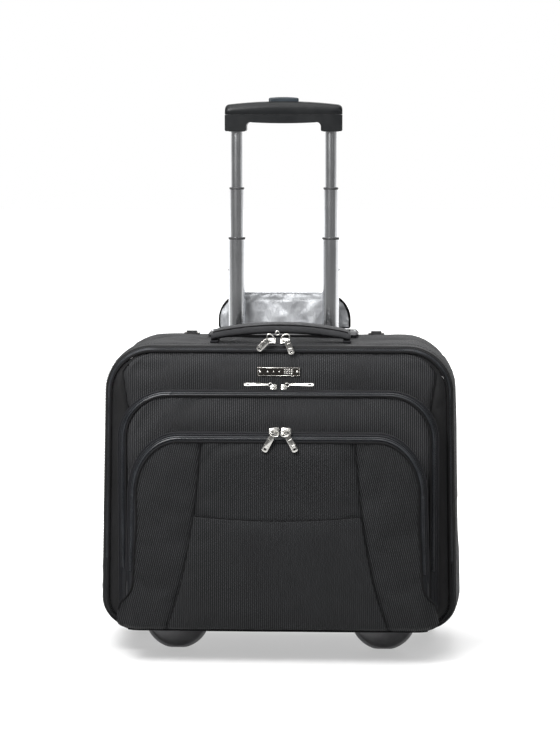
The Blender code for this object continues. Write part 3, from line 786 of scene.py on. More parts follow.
def cut_openings(obj):
    """Opens the skin for the handle's recess and for the wheel housings."""
    def cut(bm):
        gone = []
        for face in bm.faces:
            c = face.calc_center_median()
            depth = c.y - RIM_Y
            mouth = abs(c.x) < MOUTH["half"] and MOUTH["front"] < depth < MOUTH["back"] and c.z > 0.3
            corner = abs(c.x) > HOUSING_INNER and depth > HOUSING_FRONT and c.z < HOUSING_TOP
            if mouth or corner:
                gone.append(face)
        bmesh.ops.delete(bm, geom=gone, context="FACES")

    reshape(obj, cut)


def make_back():
    size = inset(CASE, PANEL_INSET)
    depth = CASE_DEPTH + 0.0048

    def place(x, z):
        edge = min(half_width(size, z) - abs(x), size["high"] - z, z - size["low"])
        roll = 0.0042 * (1 - smooth(edge / 0.014))
        puff = 0.0010 * wobble(x, z, 0.08, 5) * smooth(edge / 0.03)
        return at_depth(x, depth - roll + puff, z)

    zs = levels(size, HOUSING_TOP + 0.001)
    seam_at = 0.118
    breaks = [lambda z: -half_width(size, z), lambda z: -seam_at, lambda z: seam_at,
              lambda z: half_width(size, z)]
    upper, pins = panel("back_cloth", zs, breaks, (14, 34, 14), place, (M["ribs"],), seam=-0.0012)
    flip(upper)
    soften(upper, pins, 1.0, slack=0.005, cap=0.0022)
    foot = 0.0408
    lows = [foot + 0.0055 * i for i in range(11)] + [HOUSING_TOP + 0.001]

    def low_place(x, z):
        return at_depth(x, depth - 0.0030 * (1 - smooth((z - foot) / 0.012)), z)

    edges = between(lambda z: HOUSING_INNER - 0.002)
    lower, _ = panel("back_cloth_low", lows, edges, (50,), low_place, (M["ribs"],))
    flip(lower)
    for obj, node in ((upper, "back_panel"), (lower, None)):
        subdivide(obj)
        thicken(obj, 0.002)
        done(obj, "case", "body_fabric", *([node] if node else []))
    points = run_above(side_points(CASE, -0.0028, straight=30, turn=16, top=40), HOUSING_TOP + 0.002)
    line = [at_depth(x, CASE_DEPTH + 0.0033, z) for x, z in points]
    done(tube("rear_cord", line, 0.0026, M["cord"]), "case", "piping", "rear_piping")
    seam = [at_depth(x * 0.965, CASE_DEPTH + 0.0052, z - 0.0075) for x, z in points]
    done(stitches("rear_stitching", seam[6:-6], M["thread"]), "case", "body_fabric")
    for side, sign in SIDES:
        line = [at_depth(sign * (seam_at + 0.003), depth + 0.0004, 0.112 + 0.01 * i) for i in range(25)]
        done(stitches("back_seam_stitching_" + side, line, M["thread"]), "case", "body_fabric")


def make_divider():
    """Lining wall in front of the handle tubes, with a document pocket sewn on it."""
    size = inset(CASE, 0.009)

    def place(x, z):
        edge = min(half_width(size, z) - abs(x), size["high"] - z, z - 0.04)
        return at_depth(x, 0.1245 + 0.0012 * wobble(x, z, 0.06, 9) * smooth(edge / 0.03), z)

    zs = [0.042 + 0.0055 * i for i in range(11)] + levels(size, HOUSING_TOP + 0.002)

    def wide(z):
        return min(half_width(size, z), HOUSING_INNER - 0.002) if z < HOUSING_TOP else half_width(size, z)

    obj, _ = panel("lining_wall", zs, between(wide), (44,), place, (M["lining"],))
    subdivide(obj)
    thicken(obj, 0.001)
    done(obj, "case", "lining", "lining_divider")

    half = 0.150

    def pocket_place(x, z):
        sag = 0.004 * smooth((z - 0.05) / 0.15) * (1 - (x / half) ** 2)
        return at_depth(x, 0.1225 - sag, z)

    zs = [0.046 + 0.006 * i for i in range(28)]
    breaks = [lambda z: -half, lambda z: 0.0, lambda z: half]
    pocket, _ = panel("lining_pocket", zs, breaks, (20, 20), pocket_place, (M["lining"],))
    subdivide(pocket)
    thicken(pocket, 0.0008)
    done(pocket, "case", "lining")
    hem = [pocket_place(half * (i / 20 - 1), zs[-1]) + Vector((0, -0.0006, -0.001)) for i in range(41)]
    done(tube("lining_pocket_binding", hem, 0.0013, M["binding"]), "case", "piping")


# Main zip
def cord_line(size, shrink, depth, start=None):
    points = fine(size, -shrink)
    points = run_above(points, start) if start else whole(points)
    return [at_depth(x, depth, z) for x, z in points]


def make_main_zip():
    front, back = LID_CORD, CASE_CORD
    done(tube("front_cord", cord_line(CASE, front["inset"], front["depth"]), front["r"], M["cord"], True),
         "front_lid", "piping", "front_piping")
    done(tube("rim_cord", cord_line(CASE, back["inset"], back["depth"]), back["r"], M["cord"], True),
         "case", "piping")
    for name, body, spread, piece in (("case", "case", (0.0034, 0.0008), "main_zip_tape"),
                                      ("lid", "front_lid", (0.0052, 0.0036), None)):
        for part, start, under, cloth in (("tape", ZIP_END - 0.004, 0.0, M["tape"]),
                                          ("binding", None, 0.0005, M["cord"])):
            rows = []
            for k in range(4):
                shrink = mix(spread[0], spread[1], k / 3)
                share = (front["inset"] - shrink) / (front["inset"] - back["inset"])
                depth = mix(front["depth"], back["depth"], share) + under
                rows.append(cord_line(CASE, shrink + under, depth, start))
            band = skin(f"main_{part}_{name}", rows, cloth, closed=start is None)
            thicken(band, 0.0006, 0.0)
            done(band, body, "zip_tape", *([piece] if piece and start else []))
    points = run_above(fine(CASE, -0.0030), ZIP_END)
    outs = directions(points)
    middle = mix(LID_CORD["depth"], CASE_CORD["depth"], 0.48)
    line = [at_depth(x, middle, z) for x, z in points]
    normal = [(o * 0.75 + Vector((0, -0.66, 0))).normalized() for o in outs]
    across = [(o * 0.66 + Vector((0, 0.75, 0))).normalized() for o in outs]
    for side, body in ((1, "case"), (-1, "front_lid")):
        teeth = zip_teeth(f"main_teeth_{body}", line, across, normal, side, half=0.0018)
        done(teeth, body, "zip_tape")
    seam = [at_depth(x, 0.0093, z) for x, z in run_above(fine(CASE, 0.0033), ZIP_END)]
    rows = []
    for shift, lift in ((0.0035, 0.0002), (0.0045, 0.0011), (0.0105, 0.0013), (0.0118, 0.0006)):
        rows.append([at_depth(x, shift, z) for x, z in whole(fine(bulged(shift), lift))])
    band = skin("rim_band", rows, M["plain"], closed=True, flip=True)
    thicken(band, 0.0006)
    done(band, "case", "body_fabric")
    done(stitches("rim_band_stitching", seam, M["thread"]), "case", "body_fabric")


# Front panel and pockets
def seam_x(z):
    slope = (SEAM_TOP[0] - SEAM_LOW[0]) / (SEAM_TOP[1] - SEAM_LOW[1])
    return min(0.1925, max(SEAM_LOW[0], SEAM_LOW[0] + slope * (z - SEAM_LOW[1])))


def make_front_panel():
    size = inset(CASE, PANEL_INSET)

    def place(x, z):
        edge = min(half_width(size, z) - abs(x), size["high"] - z, z - size["low"])
        roll = 0.0052 * (1 - smooth((edge + 0.002) / 0.012))
        crown = 0.0012 * smooth(edge / 0.05) + 0.0007 * wobble(x, z, 0.07, 1) * smooth(edge / 0.02)
        return at_depth(x, PANEL_FRONT + roll - crown, z)

    def edge_at(z):
        return half_width(size, z)

    def inner_at(z):
        return min(seam_x(z), edge_at(z) * 0.97)

    zs = levels(size, None, 0.0045)
    breaks = [lambda z: -edge_at(z), lambda z: -inner_at(z), inner_at, edge_at]
    cloths = (M["plain"], M["ribs"], M["plain"])
    obj, pins = panel("front_cloth", zs, breaks, (7, 74, 7), place, cloths)
    soften(obj, pins, 1.0, slack=0.004, cap=0.0010)
    subdivide(obj)
    thicken(obj, 0.0022)
    done(obj, "front_lid", "body_fabric", "front_panel")
    zs = [mix(SEAM_LOW[1], SEAM_TOP[1] + 0.003, i / 12) for i in range(13)]
    for side, sign in SIDES:
        line = [place(sign * inner_at(z), z) + Vector((0, -0.0001, 0)) for z in zs]
        done(tube("front_seam_" + side, line, 0.0007, M["cord"]), "front_lid", "body_fabric")

    def inside(x, z):
        return at_depth(x, -0.0004 - 0.0004 * wobble(x, z, 0.05, 2), z)

    wide = inset(size, 0.004)
    edges = between(lambda z: half_width(wide, z))
    back, _ = panel("lid_lining", levels(wide, None), edges, (60,), inside, (M["lining"],))
    flip(back)
    thicken(back, 0.0006)
    done(back, "front_lid", "lining")


# How a pocket's side goes back from the edge of its face: outward, and back
RIM_PROFILE = ((0.0004, 0.0004), (0.0022, 0.0016), (0.0028, 0.0014), (0.0068, 0.0042), (0.0076, 0.0040),
               (0.0098, 0.0062), (0.0104, 0.0078), (0.0100, 0.0092))


def pocket_side(name, size, front, back, body, node, rise, foot, tuck=0.0):
    """A pocket's side wall: an inner tape, the coil's bed, an outer tape with a raised edge, then the wall.
    Tuck draws its foot back behind the pocket's rolled face."""
    rows = []
    out, start = RIM_PROFILE[-1]
    profile = list(RIM_PROFILE) + [(out, mix(start, back - front, i / 4)) for i in range(1, 5)]
    for out, depth in profile:
        row = []
        for x, z in whole(side_points(size, out, out * rise, straight=30, turn=16, top=50)):
            drawn = tuck * (1 - smooth((z - foot) / 0.020))
            row.append(at_depth(x, min(front + depth + drawn, back), max(z, foot)))
        rows.append(row)
    upper = skin(name, rows, M["plain"], closed=True, flip=True, angle=35)
    upper.data.materials.append(M["tape"])
    columns = len(rows[0])
    for i, polygon in enumerate(upper.data.polygons):
        if i // columns < 5:
            polygon.material_index = 1
    thicken(upper, 0.0012)
    done(upper, body, "body_fabric", node)


def pocket_zip(label, size, front, body, rise, end, cord_body, cord_end):
    points = run_above(fine(size, 0.0048, 0.0048 * rise), end)
    outs = directions(points)
    line = [at_depth(x, front + 0.0026, z) for x, z in points]
    normal = [(o * 0.57 + Vector((0, -0.82, 0))).normalized() for o in outs]
    across = [(o * 0.82 + Vector((0, 0.57, 0))).normalized() for o in outs]
    for part, side, rider in (("outer", 1, body), ("inner", -1, cord_body)):
        done(zip_teeth(f"{label}_teeth_{part}", line, across, normal, side), rider, "zip_tape")
    edge = run_above(fine(size, 0.0101, 0.0101 * rise), cord_end)
    ridge = [at_depth(x, front + 0.0066, z) for x, z in edge]
    done(tube(f"{label}_edge_cord", ridge, 0.0010, M["binding"]), body, "piping")
    sewn = run_above(fine(size, 0.0082, 0.0082 * rise), end)
    seam = [at_depth(x, front + 0.0040, z) for x, z in sewn]
    sewing = stitches(f"{label}_tape_stitching", seam, M["thread"], 0.0022, 0.0010, 0.00022)
    done(sewing, body, "zip_tape")


def make_pocket_1():
    rise = 0.55
    pocket_side("pocket_1_side", POCKET_1, POCKET_1_FRONT, PANEL_FRONT - 0.0002, "front_lid",
                "pocket_1_gusset", rise, 0.0385)
    pocket_zip("pocket_1", POCKET_1, POCKET_1_FRONT, "front_lid", rise, 0.112, "pocket_1_lid", 0.050)

    def place(x, z):
        edge = min(half_width(POCKET_1, z) - abs(x), POCKET_1["high"] - z)
        roll = 0.0016 * (1 - smooth(edge / 0.006))
        crown = 0.0010 * smooth(edge / 0.03) + 0.0008 * wobble(x, z, 0.05, 4) * smooth(edge / 0.015)
        return at_depth(x, POCKET_1_FRONT + roll - crown, z)

    zs = levels(POCKET_1, None, 0.0045)
    edges = between(lambda z: half_width(POCKET_1, z))
    obj, pins = panel("pocket_1_cloth", zs, edges, (76,), place, (M["ribs"],))
    soften(obj, pins, 0.8, slack=0.004, cap=0.0012)
    subdivide(obj)
    thicken(obj, 0.0018)
    done(obj, "pocket_1_lid", "body_fabric", "pocket_1_cover")
    points = run_above(fine(POCKET_1, 0.0006), 0.060)
    line = [at_depth(x, POCKET_1_FRONT - 0.0001, z) for x, z in points]
    done(tube("pocket_1_cord", line, 0.0013, M["cord"]), "pocket_1_lid", "piping")


def face_2_width(z):
    head = POCKET_2["high"] - POCKET_2["r_high"][1]
    return half_width(POCKET_2, z) if z > head else table(POCKET_2_SIDE, z)


def face_2_depth(x, z):
    """The smaller pocket's face: flat at the top, bellied low down, rolled under at its foot."""
    edge = min(face_2_width(z) - abs(x), POCKET_2["high"] - z)
    belly = math.exp(-((z - 0.115) / 0.075) ** 2) * (1 - (x / 0.20) ** 2)
    out = 0.0012 * smooth(edge / 0.02) + 0.0034 * belly * smooth(edge / 0.05)
    under = 0.010 * (1 - smooth((z - 0.0405) / 0.010)) ** 2
    side = 0.0075 * smooth((abs(x) - 0.168) / 0.020) * (1 - smooth((z - 0.085) / 0.02))
    return POCKET_2_EDGE - out + under + side + 0.0005 * wobble(x, z, 0.05, 8) * smooth(edge / 0.02)


def make_pocket_2():
    rise = 1.05
    pocket_side("pocket_2_side", POCKET_2, POCKET_2_EDGE, POCKET_1_FRONT - 0.0004, "pocket_1_lid",
                "pocket_2_gusset", rise, 0.0425, 0.014)
    pocket_zip("pocket_2", POCKET_2, POCKET_2_EDGE, "pocket_1_lid", rise, 0.112, "pocket_2_lid", 0.100)
    head = POCKET_2["high"] - POCKET_2["r_high"][1]
    zs = [0.0408 + 0.00345 * i for i in range(16)]
    count = 24
    zs += [mix(0.096, head, i / count) for i in range(count)]
    zs += [head + POCKET_2["r_high"][1] * math.sin(math.radians(90 * i / 12)) for i in range(13)]

    def seam(z):
        return min(table(FACE_SEAM, z), face_2_width(z) * 0.985)

    def place(x, z):
        return at_depth(x, face_2_depth(x, z), z)

    breaks = [lambda z: -face_2_width(z), lambda z: -seam(z), seam, face_2_width]
    # The face is sewn in the darker copies of the ribbed nylon: painted shade.
    obj, pins = panel("pocket_2_cloth", zs, breaks, (20, 46, 20), place,
                      (M["ribs_shaded_left"], M["ribs_shaded"], M["ribs_shaded_right"]), seam=0.0024, seam_width=0.0030)
    soften(obj, pins, 1.6, slack=0.006, cap=0.0026)
    subdivide(obj)
    thicken(obj, 0.0018)
    done(obj, "pocket_2_lid", "body_fabric", "pocket_2_cover")
    foot, step = 0.066, 0.0035
    count = int((head - foot) / step)
    rim = [(face_2_width(z) + 0.0006, z) for z in (foot + step * i for i in range(count))]
    rim += [p for p in fine(POCKET_2, 0.0006) if p[1] > head]
    line = []
    for x, z in rim + [(-x, z) for x, z in reversed(rim[:-1])]:
        wide = face_2_width(z)
        line.append(at_depth(x, face_2_depth(max(-wide, min(wide, x)), z) - 0.0002, z))
    done(tube("pocket_2_cord", line, 0.0013, M["cord"]), "pocket_2_lid", "piping")
    z = POCKET_2_FOOT
    ends = face_2_width(z) - 0.001
    line = [at_depth(x, face_2_depth(x, z) - 0.0006, z) for x in (ends * (i / 30 - 1) for i in range(61))]
    done(tube("pocket_2_foot_cord", line, 0.0012, M["cord"]), "pocket_2_lid", "piping")
    make_slip_pocket(seam)


def hem_height(x):
    return HEM_EDGE - HEM_SAG * (1 - (x / 0.100) ** 2)


def make_slip_pocket(seam):
    """An open pocket across the middle of the smaller pocket's face, hanging slightly away at its hem."""
    rows, count, across = [], 30, 46
    for i in range(count + 1):
        t = i / count
        row = []
        for k in range(across + 1):
            share = 2 * (0.6 * k / across + 0.4 * (1 - math.cos(math.pi * k / across)) / 2) - 1
            top = hem_height(share * 0.1)
            z = mix(SLIP_FOOT, top, t)
            x = share * (seam(z) - 0.0008)
            off = 0.0010 + 0.0022 * (1 - share**2) * smooth(t / 0.9) + 0.0006 * smooth(1 - abs(share))
            row.append(at_depth(x, face_2_depth(x, z) - off, z))
        rows.append(row)
    # The darker copy of the ribbed nylon: painted shade on the slip pocket.
    obj = skin("slip_pocket_cloth", rows, M["ribs_shaded"])
    width = across + 1
    pins = [r * width + c for r in range(count + 1) for c in range(width)
            if r in (0, count) or c in (0, across)]
    soften(obj, pins, 2.0, slack=0.006, cap=0.0024)
    subdivide(obj)
    thicken(obj, 0.0009, 0.0)
    done(obj, "pocket_2_lid", "body_fabric", "slip_pocket")
    # The hem's binding in the darkest cord cloth, set just above the mouth: partly the real dark hem, partly
    # a painted shadow line along the pocket's mouth.
    top = [p + Vector((0, -0.0001, 0.0004)) for p in rows[-1]]
    done(tube("slip_pocket_hem_and_shadow", top, 0.0008, M["cord"]), "pocket_2_lid", "piping")
    sewn = [at_depth(p.x, p.y - RIM_Y - 0.0012, p.z - 0.0055) for p in rows[-1][1:-1]]
    done(stitches("slip_pocket_stitching", sewn, M["thread"]), "pocket_2_lid", "body_fabric")
    zs = [mix(0.044, 0.2665, i / 59) for i in range(60)]
    for side, sign in SIDES:
        groove = [at_depth(sign * seam(z), face_2_depth(seam(z), z) - 0.0001, z) for z in zs]
        done(tube("face_seam_" + side, groove, 0.00085, M["cord"]), "pocket_2_lid", "body_fabric")


# Zip pulls
def slider(name, centre, length, width, height, body, node, face):
    """A domed slider body with a bridge. Face turns its upper side from +Z to where it looks."""
    bm = bmesh.new()
    bmesh.ops.create_cube(bm, size=1.0)
    bmesh.ops.scale(bm, vec=(length, width, height * 0.55), verts=bm.verts)
    bmesh.ops.subdivide_edges(bm, edges=bm.edges[:], cuts=3, use_grid_fill=True)
    for v in bm.verts:
        share = v.co.x / length
        v.co.y *= 1 - 0.45 * max(0.0, share + 0.1) ** 1.2
        v.co.z += height * 0.10 * (1 - (2 * share) ** 2) * (1 if v.co.z > 0 else 0.4)
    block(bm, (length * 0.62, width * 0.34, height * 0.22), (0, 0, height * 0.62))
    for sign in (-1, 1):
        block(bm, (length * 0.12, width * 0.34, height * 0.5), (sign * length * 0.25, 0, height * 0.40))
    bmesh.ops.transform(bm, matrix=Matrix.Translation(centre) @ face, verts=bm.verts)
    obj = from_bm(name, bm, M["nickel"])
    bevel(obj, 0.0004, 2)
    done(obj, body, "nickel", node)


def ring(name, centre, radius, wire, turn, body):
    points = []
    for i in range(28):
        a = 2 * math.pi * i / 28
        points.append(centre + turn @ Vector((radius[0] * math.cos(a), 0, radius[1] * math.sin(a))))
    done(tube(name, points, wire, M["nickel"], True, 4), body, "nickel")


def pull_plate(name, place, length, top, foot, thick, body, node):
    """A flat tab: narrow neck, square shoulders, a rounded foot with a slot through it and raised rims."""
    outline = [(-top * 0.5, -0.0015), (top * 0.5, -0.0015)]
    outline += [(top * 0.62, -length * 0.22), (foot * 0.5, -length * 0.80)]
    for a in (math.radians(20 * i) for i in range(10)):
        outline.append((foot * 0.5 * math.cos(a), -length + foot * 0.30 - foot * 0.30 * math.sin(a)))
    outline += [(-foot * 0.5, -length * 0.80), (-top * 0.62, -length * 0.22)]
    bm = bmesh.new()
    front = [bm.verts.new((x, -thick / 2, z)) for x, z in outline]
    face = bm.faces.new(front)
    back = bmesh.ops.extrude_face_region(bm, geom=[face])
    moved = [item for item in back["geom"] if isinstance(item, bmesh.types.BMVert)]
    bmesh.ops.translate(bm, vec=(0, thick, 0), verts=moved)
    bmesh.ops.recalc_face_normals(bm, faces=bm.faces)
    bmesh.ops.transform(bm, matrix=place, verts=bm.verts)
    obj = from_bm(name, bm, M["nickel"])
    tool = cut_away(obj, "slot", (0, 0, -length * 0.84), (foot * 0.42, thick * 3, length * 0.10), place)
    bevel(obj, thick * 0.28, 2)
    bake_modifiers(obj, tool)
    done(obj, body, "nickel", node)
    for k, (z, wide) in enumerate(((-length * 0.30, top * 0.52), (-length * 0.64, foot * 0.42))):
        size = (wide * 2, thick * 1.5, length * 0.035)
        done(rounded_box(f"{name}_rib_{k}", (0, 0, z), size, 0.0002, M["nickel"], 2, place), body, "nickel")


def joint_place(name):
    return Vector(next(j["pos_m"] for j in frame["joints"] if j["name"] == name))


# Shift, closer and lift move a pair of pulls from their CAD places. Eye is what its ring hangs on.
PULLS = (
    dict(zip="main", length=0.0190, leans=(-46, -22), flat=False, slider=(0.0115, 0.0085, 0.0050),
         ring=0.0048, shift=-0.0012, closer=-0.0003, lift=0.0008, eye="pull"),
    dict(zip="pocket_1", length=0.0305, leans=(0, 0), flat=True, slider=(0.0072, 0.0064, 0.0046), ring=0.0030,
         shift=0.0010, closer=0.0, lift=0.0, eye="pull"),
    dict(zip="pocket_2", length=0.0225, leans=(-29, -29), flat=False, slider=(0.0120, 0.0085, 0.0050),
         ring=0.0056, shift=0.0035, closer=0.0008, lift=0.0025, eye="slider"),
)


def make_pulls():
    for spec in PULLS:
        for side, sign, lean in (("l", -1, spec["leans"][0]), ("r", 1, spec["leans"][1])):
            make_pull(spec, side, sign, lean)


def make_pull(spec, side, sign, lean):
    name = spec["zip"]
    aside = Vector((spec["shift"] - sign * spec["closer"], 0, spec["lift"]))
    hinge = joint_place(f"{name}_pull_{side}_swing") + aside
    low, high = (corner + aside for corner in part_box(f"{name}_slider_{side}"))
    body = f"{name}_pull_{side}"
    tilt = Matrix.Rotation(sign * math.radians(lean), 4, "Y")
    length, width, height = spec["slider"]
    forward = Matrix.Rotation(math.radians(72 if name != "main" else 40), 4, "X")
    facing = forward @ Matrix.Rotation(0 if sign > 0 else math.pi, 4, "Z")
    slider(f"{name}_slide_body_{side}", (low + high) / 2, length, width, height, f"{name}_slider_{side}",
           f"{name}_slider_{side}", facing)
    if spec["flat"]:
        lie = Matrix.Rotation(-sign * math.pi / 2, 4, "Y") @ Matrix.Rotation(math.radians(sign * 52), 4, "Z")
        place = Matrix.Translation(hinge) @ lie
        pull_plate(f"{name}_tab_{side}", place, spec["length"], 0.0028, 0.0052, 0.0012, body, body)
        centre = hinge + Vector((-sign * 0.0012, -0.0004, -0.0004))
        ring(f"{name}_ring_{side}", centre, (0.0026, 0.0022), 0.00055, Matrix.Rotation(0.2, 3, "Z"), body)
        return
    place = Matrix.Translation(hinge) @ tilt
    pull_plate(f"{name}_tab_{side}", place, spec["length"], 0.0056, 0.0074, 0.0013, body, body)
    r = spec["ring"]
    centre = hinge + (tilt @ Vector((0, 0.0002, r * 0.55)))
    ring(f"{name}_ring_{side}", centre, (r * 1.05, r * 0.72), 0.0007, tilt.to_3x3(),
         f"{name}_{spec['eye']}_{side}")
    if name == "main" and side == "l":
        centre = hinge + Vector((0.0100, -0.0005, 0.0075))
        ring("main_link_ring", centre, (0.0024, 0.0024), 0.0006, Matrix.Identity(3), f"{name}_slider_{side}")


def make_plate():
    """A small plain metal plate with a rivet at each end, three studs and a ridged field."""
    low, high = (corner + Vector((0, -0.0016, 0.0026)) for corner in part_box("name_plate"))
    middle = (low + high) / 2
    size = (high.x - low.x, (high.y - low.y) * 0.7, high.z - low.z)
    plate = rounded_box("plate", middle + Vector((0, 0.0002, 0)), size, 0.0005, M["gunmetal"])
    done(plate, "front_lid", "plate", "name_plate")
    front = low.y + 0.0001
    x0, x1, z0, z1 = low.x + 0.0009, high.x - 0.0009, low.z + 0.0008, high.z - 0.0008
    frame_line = [Vector((x, front, z)) for x, z in ((x0, z0), (x1, z0), (x1, z1), (x0, z1))]
    done(tube("plate_rim", frame_line, 0.00042, M["nickel"], True), "front_lid", "nickel")
    studs = ((-0.0222, 0.0016), (-0.0130, 0.0012), (-0.0060, 0.0010), (0.0008, 0.0011), (0.0222, 0.0016))
    for k, (x, r) in enumerate(studs):
        bm = bmesh.new()
        bmesh.ops.create_uvsphere(bm, u_segments=20, v_segments=10, radius=r)
        bmesh.ops.scale(bm, vec=(1, 0.5, 1), verts=bm.verts)
        bmesh.ops.translate(bm, vec=(x, front + 0.0002, middle.z - 0.0002), verts=bm.verts)
        done(from_bm(f"plate_stud_{k}", bm, M["nickel"]), "front_lid", "nickel")
    for k in range(4):
        for row in range(3):
            place = (0.0075 + 0.0028 * k, front + 0.0001, middle.z + 0.0022 * (row - 1))
            tile = rounded_box(f"plate_tile_{k}_{row}", place, (0.0023, 0.0007, 0.0017), 0.0002,
                               M["nickel"], 2)
            done(tile, "front_lid", "nickel")


# Carry handle, rings and flap
def make_carry_handle():
    """A padded strap arched over the top, thinning to flat tabs that are sewn down."""
    low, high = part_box("carry_handle")
    half = high.x + 0.0005
    middle_y = (low.y + high.y) / 2
    base = CASE["high"] + 0.0006
    rows, around, count, wide = [], 32, 60, 0.0168
    for i in range(count + 1):
        t = 2 * i / count - 1
        under = 0.0028 + 0.0078 * (1 - t * t) * smooth((1 - abs(t)) / 0.10)
        over = 0.0138 + 0.0097 * (1 - t * t) - 0.0025 * (1 - smooth((1 - abs(t)) / 0.05))
        row = []
        for k in range(around):
            a = 2 * math.pi * k / around
            c, s = math.cos(a), math.sin(a)
            y = middle_y + wide * math.copysign(abs(c) ** 0.5, c)
            h = math.copysign(abs(s) ** 0.6, s) * (over - under) / 2
            row.append(Vector((half * t, y, base + (over + under) / 2 + h)))
        rows.append(row)
    # The strap's lighter copy of the smooth nylon paints light on it.
    obj = skin("carry_pad", rows, M["strap"], closed=True, angle=70)
    close_ends(obj, len(rows), around)
    front, rear = around // 2 - 3, 3
    pins = [r * around + c for r in range(count + 1) for c in range(around)
            if r < 3 or r > count - 3 or c in (front, rear) or c > around // 2]
    soften(obj, pins, 3.0, slack=0.01, bend=0.6, cap=0.0016)
    done(obj, "case", "body_fabric", "carry_handle")
    for label, k, lift in (("front", front, -0.0002), ("rear", rear, 0.0002)):
        line = [row[k] + Vector((0, lift, 0.0001)) for row in rows[1:-1]]
        done(tube(f"carry_piping_{label}", line, 0.0009, M["cord"]), "case", "piping")
        line = [row[k] + Vector((0, lift * 2, -0.0022)) for row in rows[2:-2]]
        done(stitches(f"carry_stitching_{label}", line, M["thread"]), "case", "body_fabric")
    for side, sign in SIDES:
        place = (sign * (half - 0.004), middle_y, base + 0.0014)
        tab = rounded_box("carry_end_" + side, place, (0.010, 0.035, 0.0028), 0.0010, M["binding"])
        done(tab, "case", "piping")


def make_rings():
    r, wire = 0.009, 0.00125
    for side, _ in SIDES:
        low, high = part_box("d_ring_" + side)
        x, z = (low.x + high.x) / 2, (low.z + high.z) / 2
        back = low.y + wire
        bow = [Vector((x + r * math.cos(math.radians(a)), back + 0.004 + r * math.sin(math.radians(a)), z))
               for a in range(0, 181, 9)]
        loop = bow + [Vector((x + dx, back, z)) for dx in (-r, 0, r)]
        done(tube("ring_wire_" + side, loop, wire, M["nickel"], True, 4), "ring_" + side, "nickel",
             "d_ring_" + side)
        low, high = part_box("ring_tab_" + side)
        rows = []
        for i in range(17):
            t = i / 16
            y = mix(low.y - 0.004, high.y + 0.0002, t)
            lift = 0.0046 * smooth((t - 0.35) / 0.45) * (1 - smooth((t - 0.93) / 0.07) * 0.6)
            z = CASE["high"] + 0.0008 + lift
            rows.append([Vector((mix(low.x, high.x, k / 8), y, z)) for k in range(9)])
        tab = thicken(skin("strap_tab_" + side, rows, M["plain"]), 0.0013, 0.0)
        done(tab, "case", "body_fabric", "ring_tab_" + side)
        wide = high.x - low.x - 0.004
        line = [Vector((low.x + 0.002 + dx, low.y - 0.002 + dy, CASE["high"] + 0.0017))
                for dx, dy in ((0, 0), (wide, 0), (wide, 0.004), (0, 0.004), (0, 0))]
        sewing = stitches("strap_tab_stitching_" + side, line, M["thread"], 0.0018, 0.0008)
        done(sewing, "case", "body_fabric")


def flap_outline(half, low, high, r):
    points = [(half, mix(low, high - r, i / 8)) for i in range(8)]
    for a in (math.radians(7.5 * i) for i in range(12)):
        points.append((half - r + r * math.cos(a), high - r + r * math.sin(a)))
    points += [((half - r) * (1 - i / 12), high + 0.0006 * (1 - (1 - i / 12) ** 2)) for i in range(13)]
    return points


def make_flap():
    """The cover of the handle's recess, standing open: silver lining inside, black ribbed cloth outside."""
    low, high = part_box("garage_flap")
    half, foot, top, r = high.x - 0.0008, low.z, high.z, 0.033
    sewn_z = top - 0.0078
    front = low.y

    def bow(x, z):
        """How far the flap curls back from its CAD plane."""
        lift = (z - foot) / (top - foot)
        return 0.0016 * lift**2 - 0.0012 * (1 - (x / half) ** 2) * math.sin(math.pi * min(1, lift))

    def width(z):
        if z <= top - r:
            return half
        return half - r + r * math.sqrt(max(0.0, 1 - ((z - top + r) / r) ** 2))

    zs = [mix(foot, top - r, i / 10) for i in range(10)]
    zs += [top - r + (r - 0.0008) * math.sin(math.radians(90 * i / 16)) for i in range(17)]

    def face(x, z):
        edge = min(width(z) - abs(x), top - z)
        puff = 0.0010 * smooth(edge / 0.010) + 0.0009 * wobble(x, z, 0.018, 6) * smooth(edge / 0.01)
        puff += 0.0007 * wobble(x, z * 0.4, 0.009, 2) * smooth((abs(x) - 0.055) / 0.02)
        groove = 0.0009 * math.exp(-((z - sewn_z) / 0.0010) ** 2) if abs(x) < half - 0.016 else 0.0
        return Vector((x, front + bow(x, z) - puff + groove, z))

    def outside(x, z):
        return Vector((x, front + 0.0030 + bow(x, z), z))

    breaks = between(lambda z: width(z) - 0.0012)
    obj, pins = panel("flap_lining", zs, breaks, (56,), face, (M["lining"],))
    soften(obj, pins, 1.2, slack=0.02, bend=0.25, cap=0.0022)
    subdivide(obj)
    thicken(obj, 0.0010)
    done(obj, "garage_flap", "lining", "garage_flap")
    outer, _ = panel("flap_outside", zs, breaks, (40,), outside, (M["ribs"],))
    flip(outer)
    thicken(outer, 0.0010)
    done(outer, "garage_flap", "body_fabric")
    points = flap_outline(half - 0.0006, foot, top - 0.0006, r)
    loop = points + [(-x, z) for x, z in reversed(points[:-1])]
    line = [Vector((x, front + 0.0012 + bow(x, z), z)) for x, z in loop]
    turn = next(i for i, (x, z) in enumerate(points) if x < half - 0.026)
    for label, part, cloth in (("r", line[:turn + 1], "cord"), ("top", line[turn:-turn], "lining"),
                               ("l", line[-turn - 1:], "cord")):
        done(tube("flap_binding_" + label, part, 0.0017, M[cloth]), "garage_flap", "piping")
    ends = half - 0.018
    line = [face(mix(-ends, ends, i / 60), sewn_z) + Vector((0, -0.0006, 0)) for i in range(61)]
    done(stitches("flap_stitching", line, M["grey_thread"], 0.0024, 0.0014, 0.00026), "garage_flap", "lining")
    hinge = [Vector((mix(-half, half, i / 20), front + 0.0018, foot - 0.0006)) for i in range(21)]
    done(tube("flap_hinge_fold", hinge, 0.0013, M["binding"]), "garage_flap", "piping")


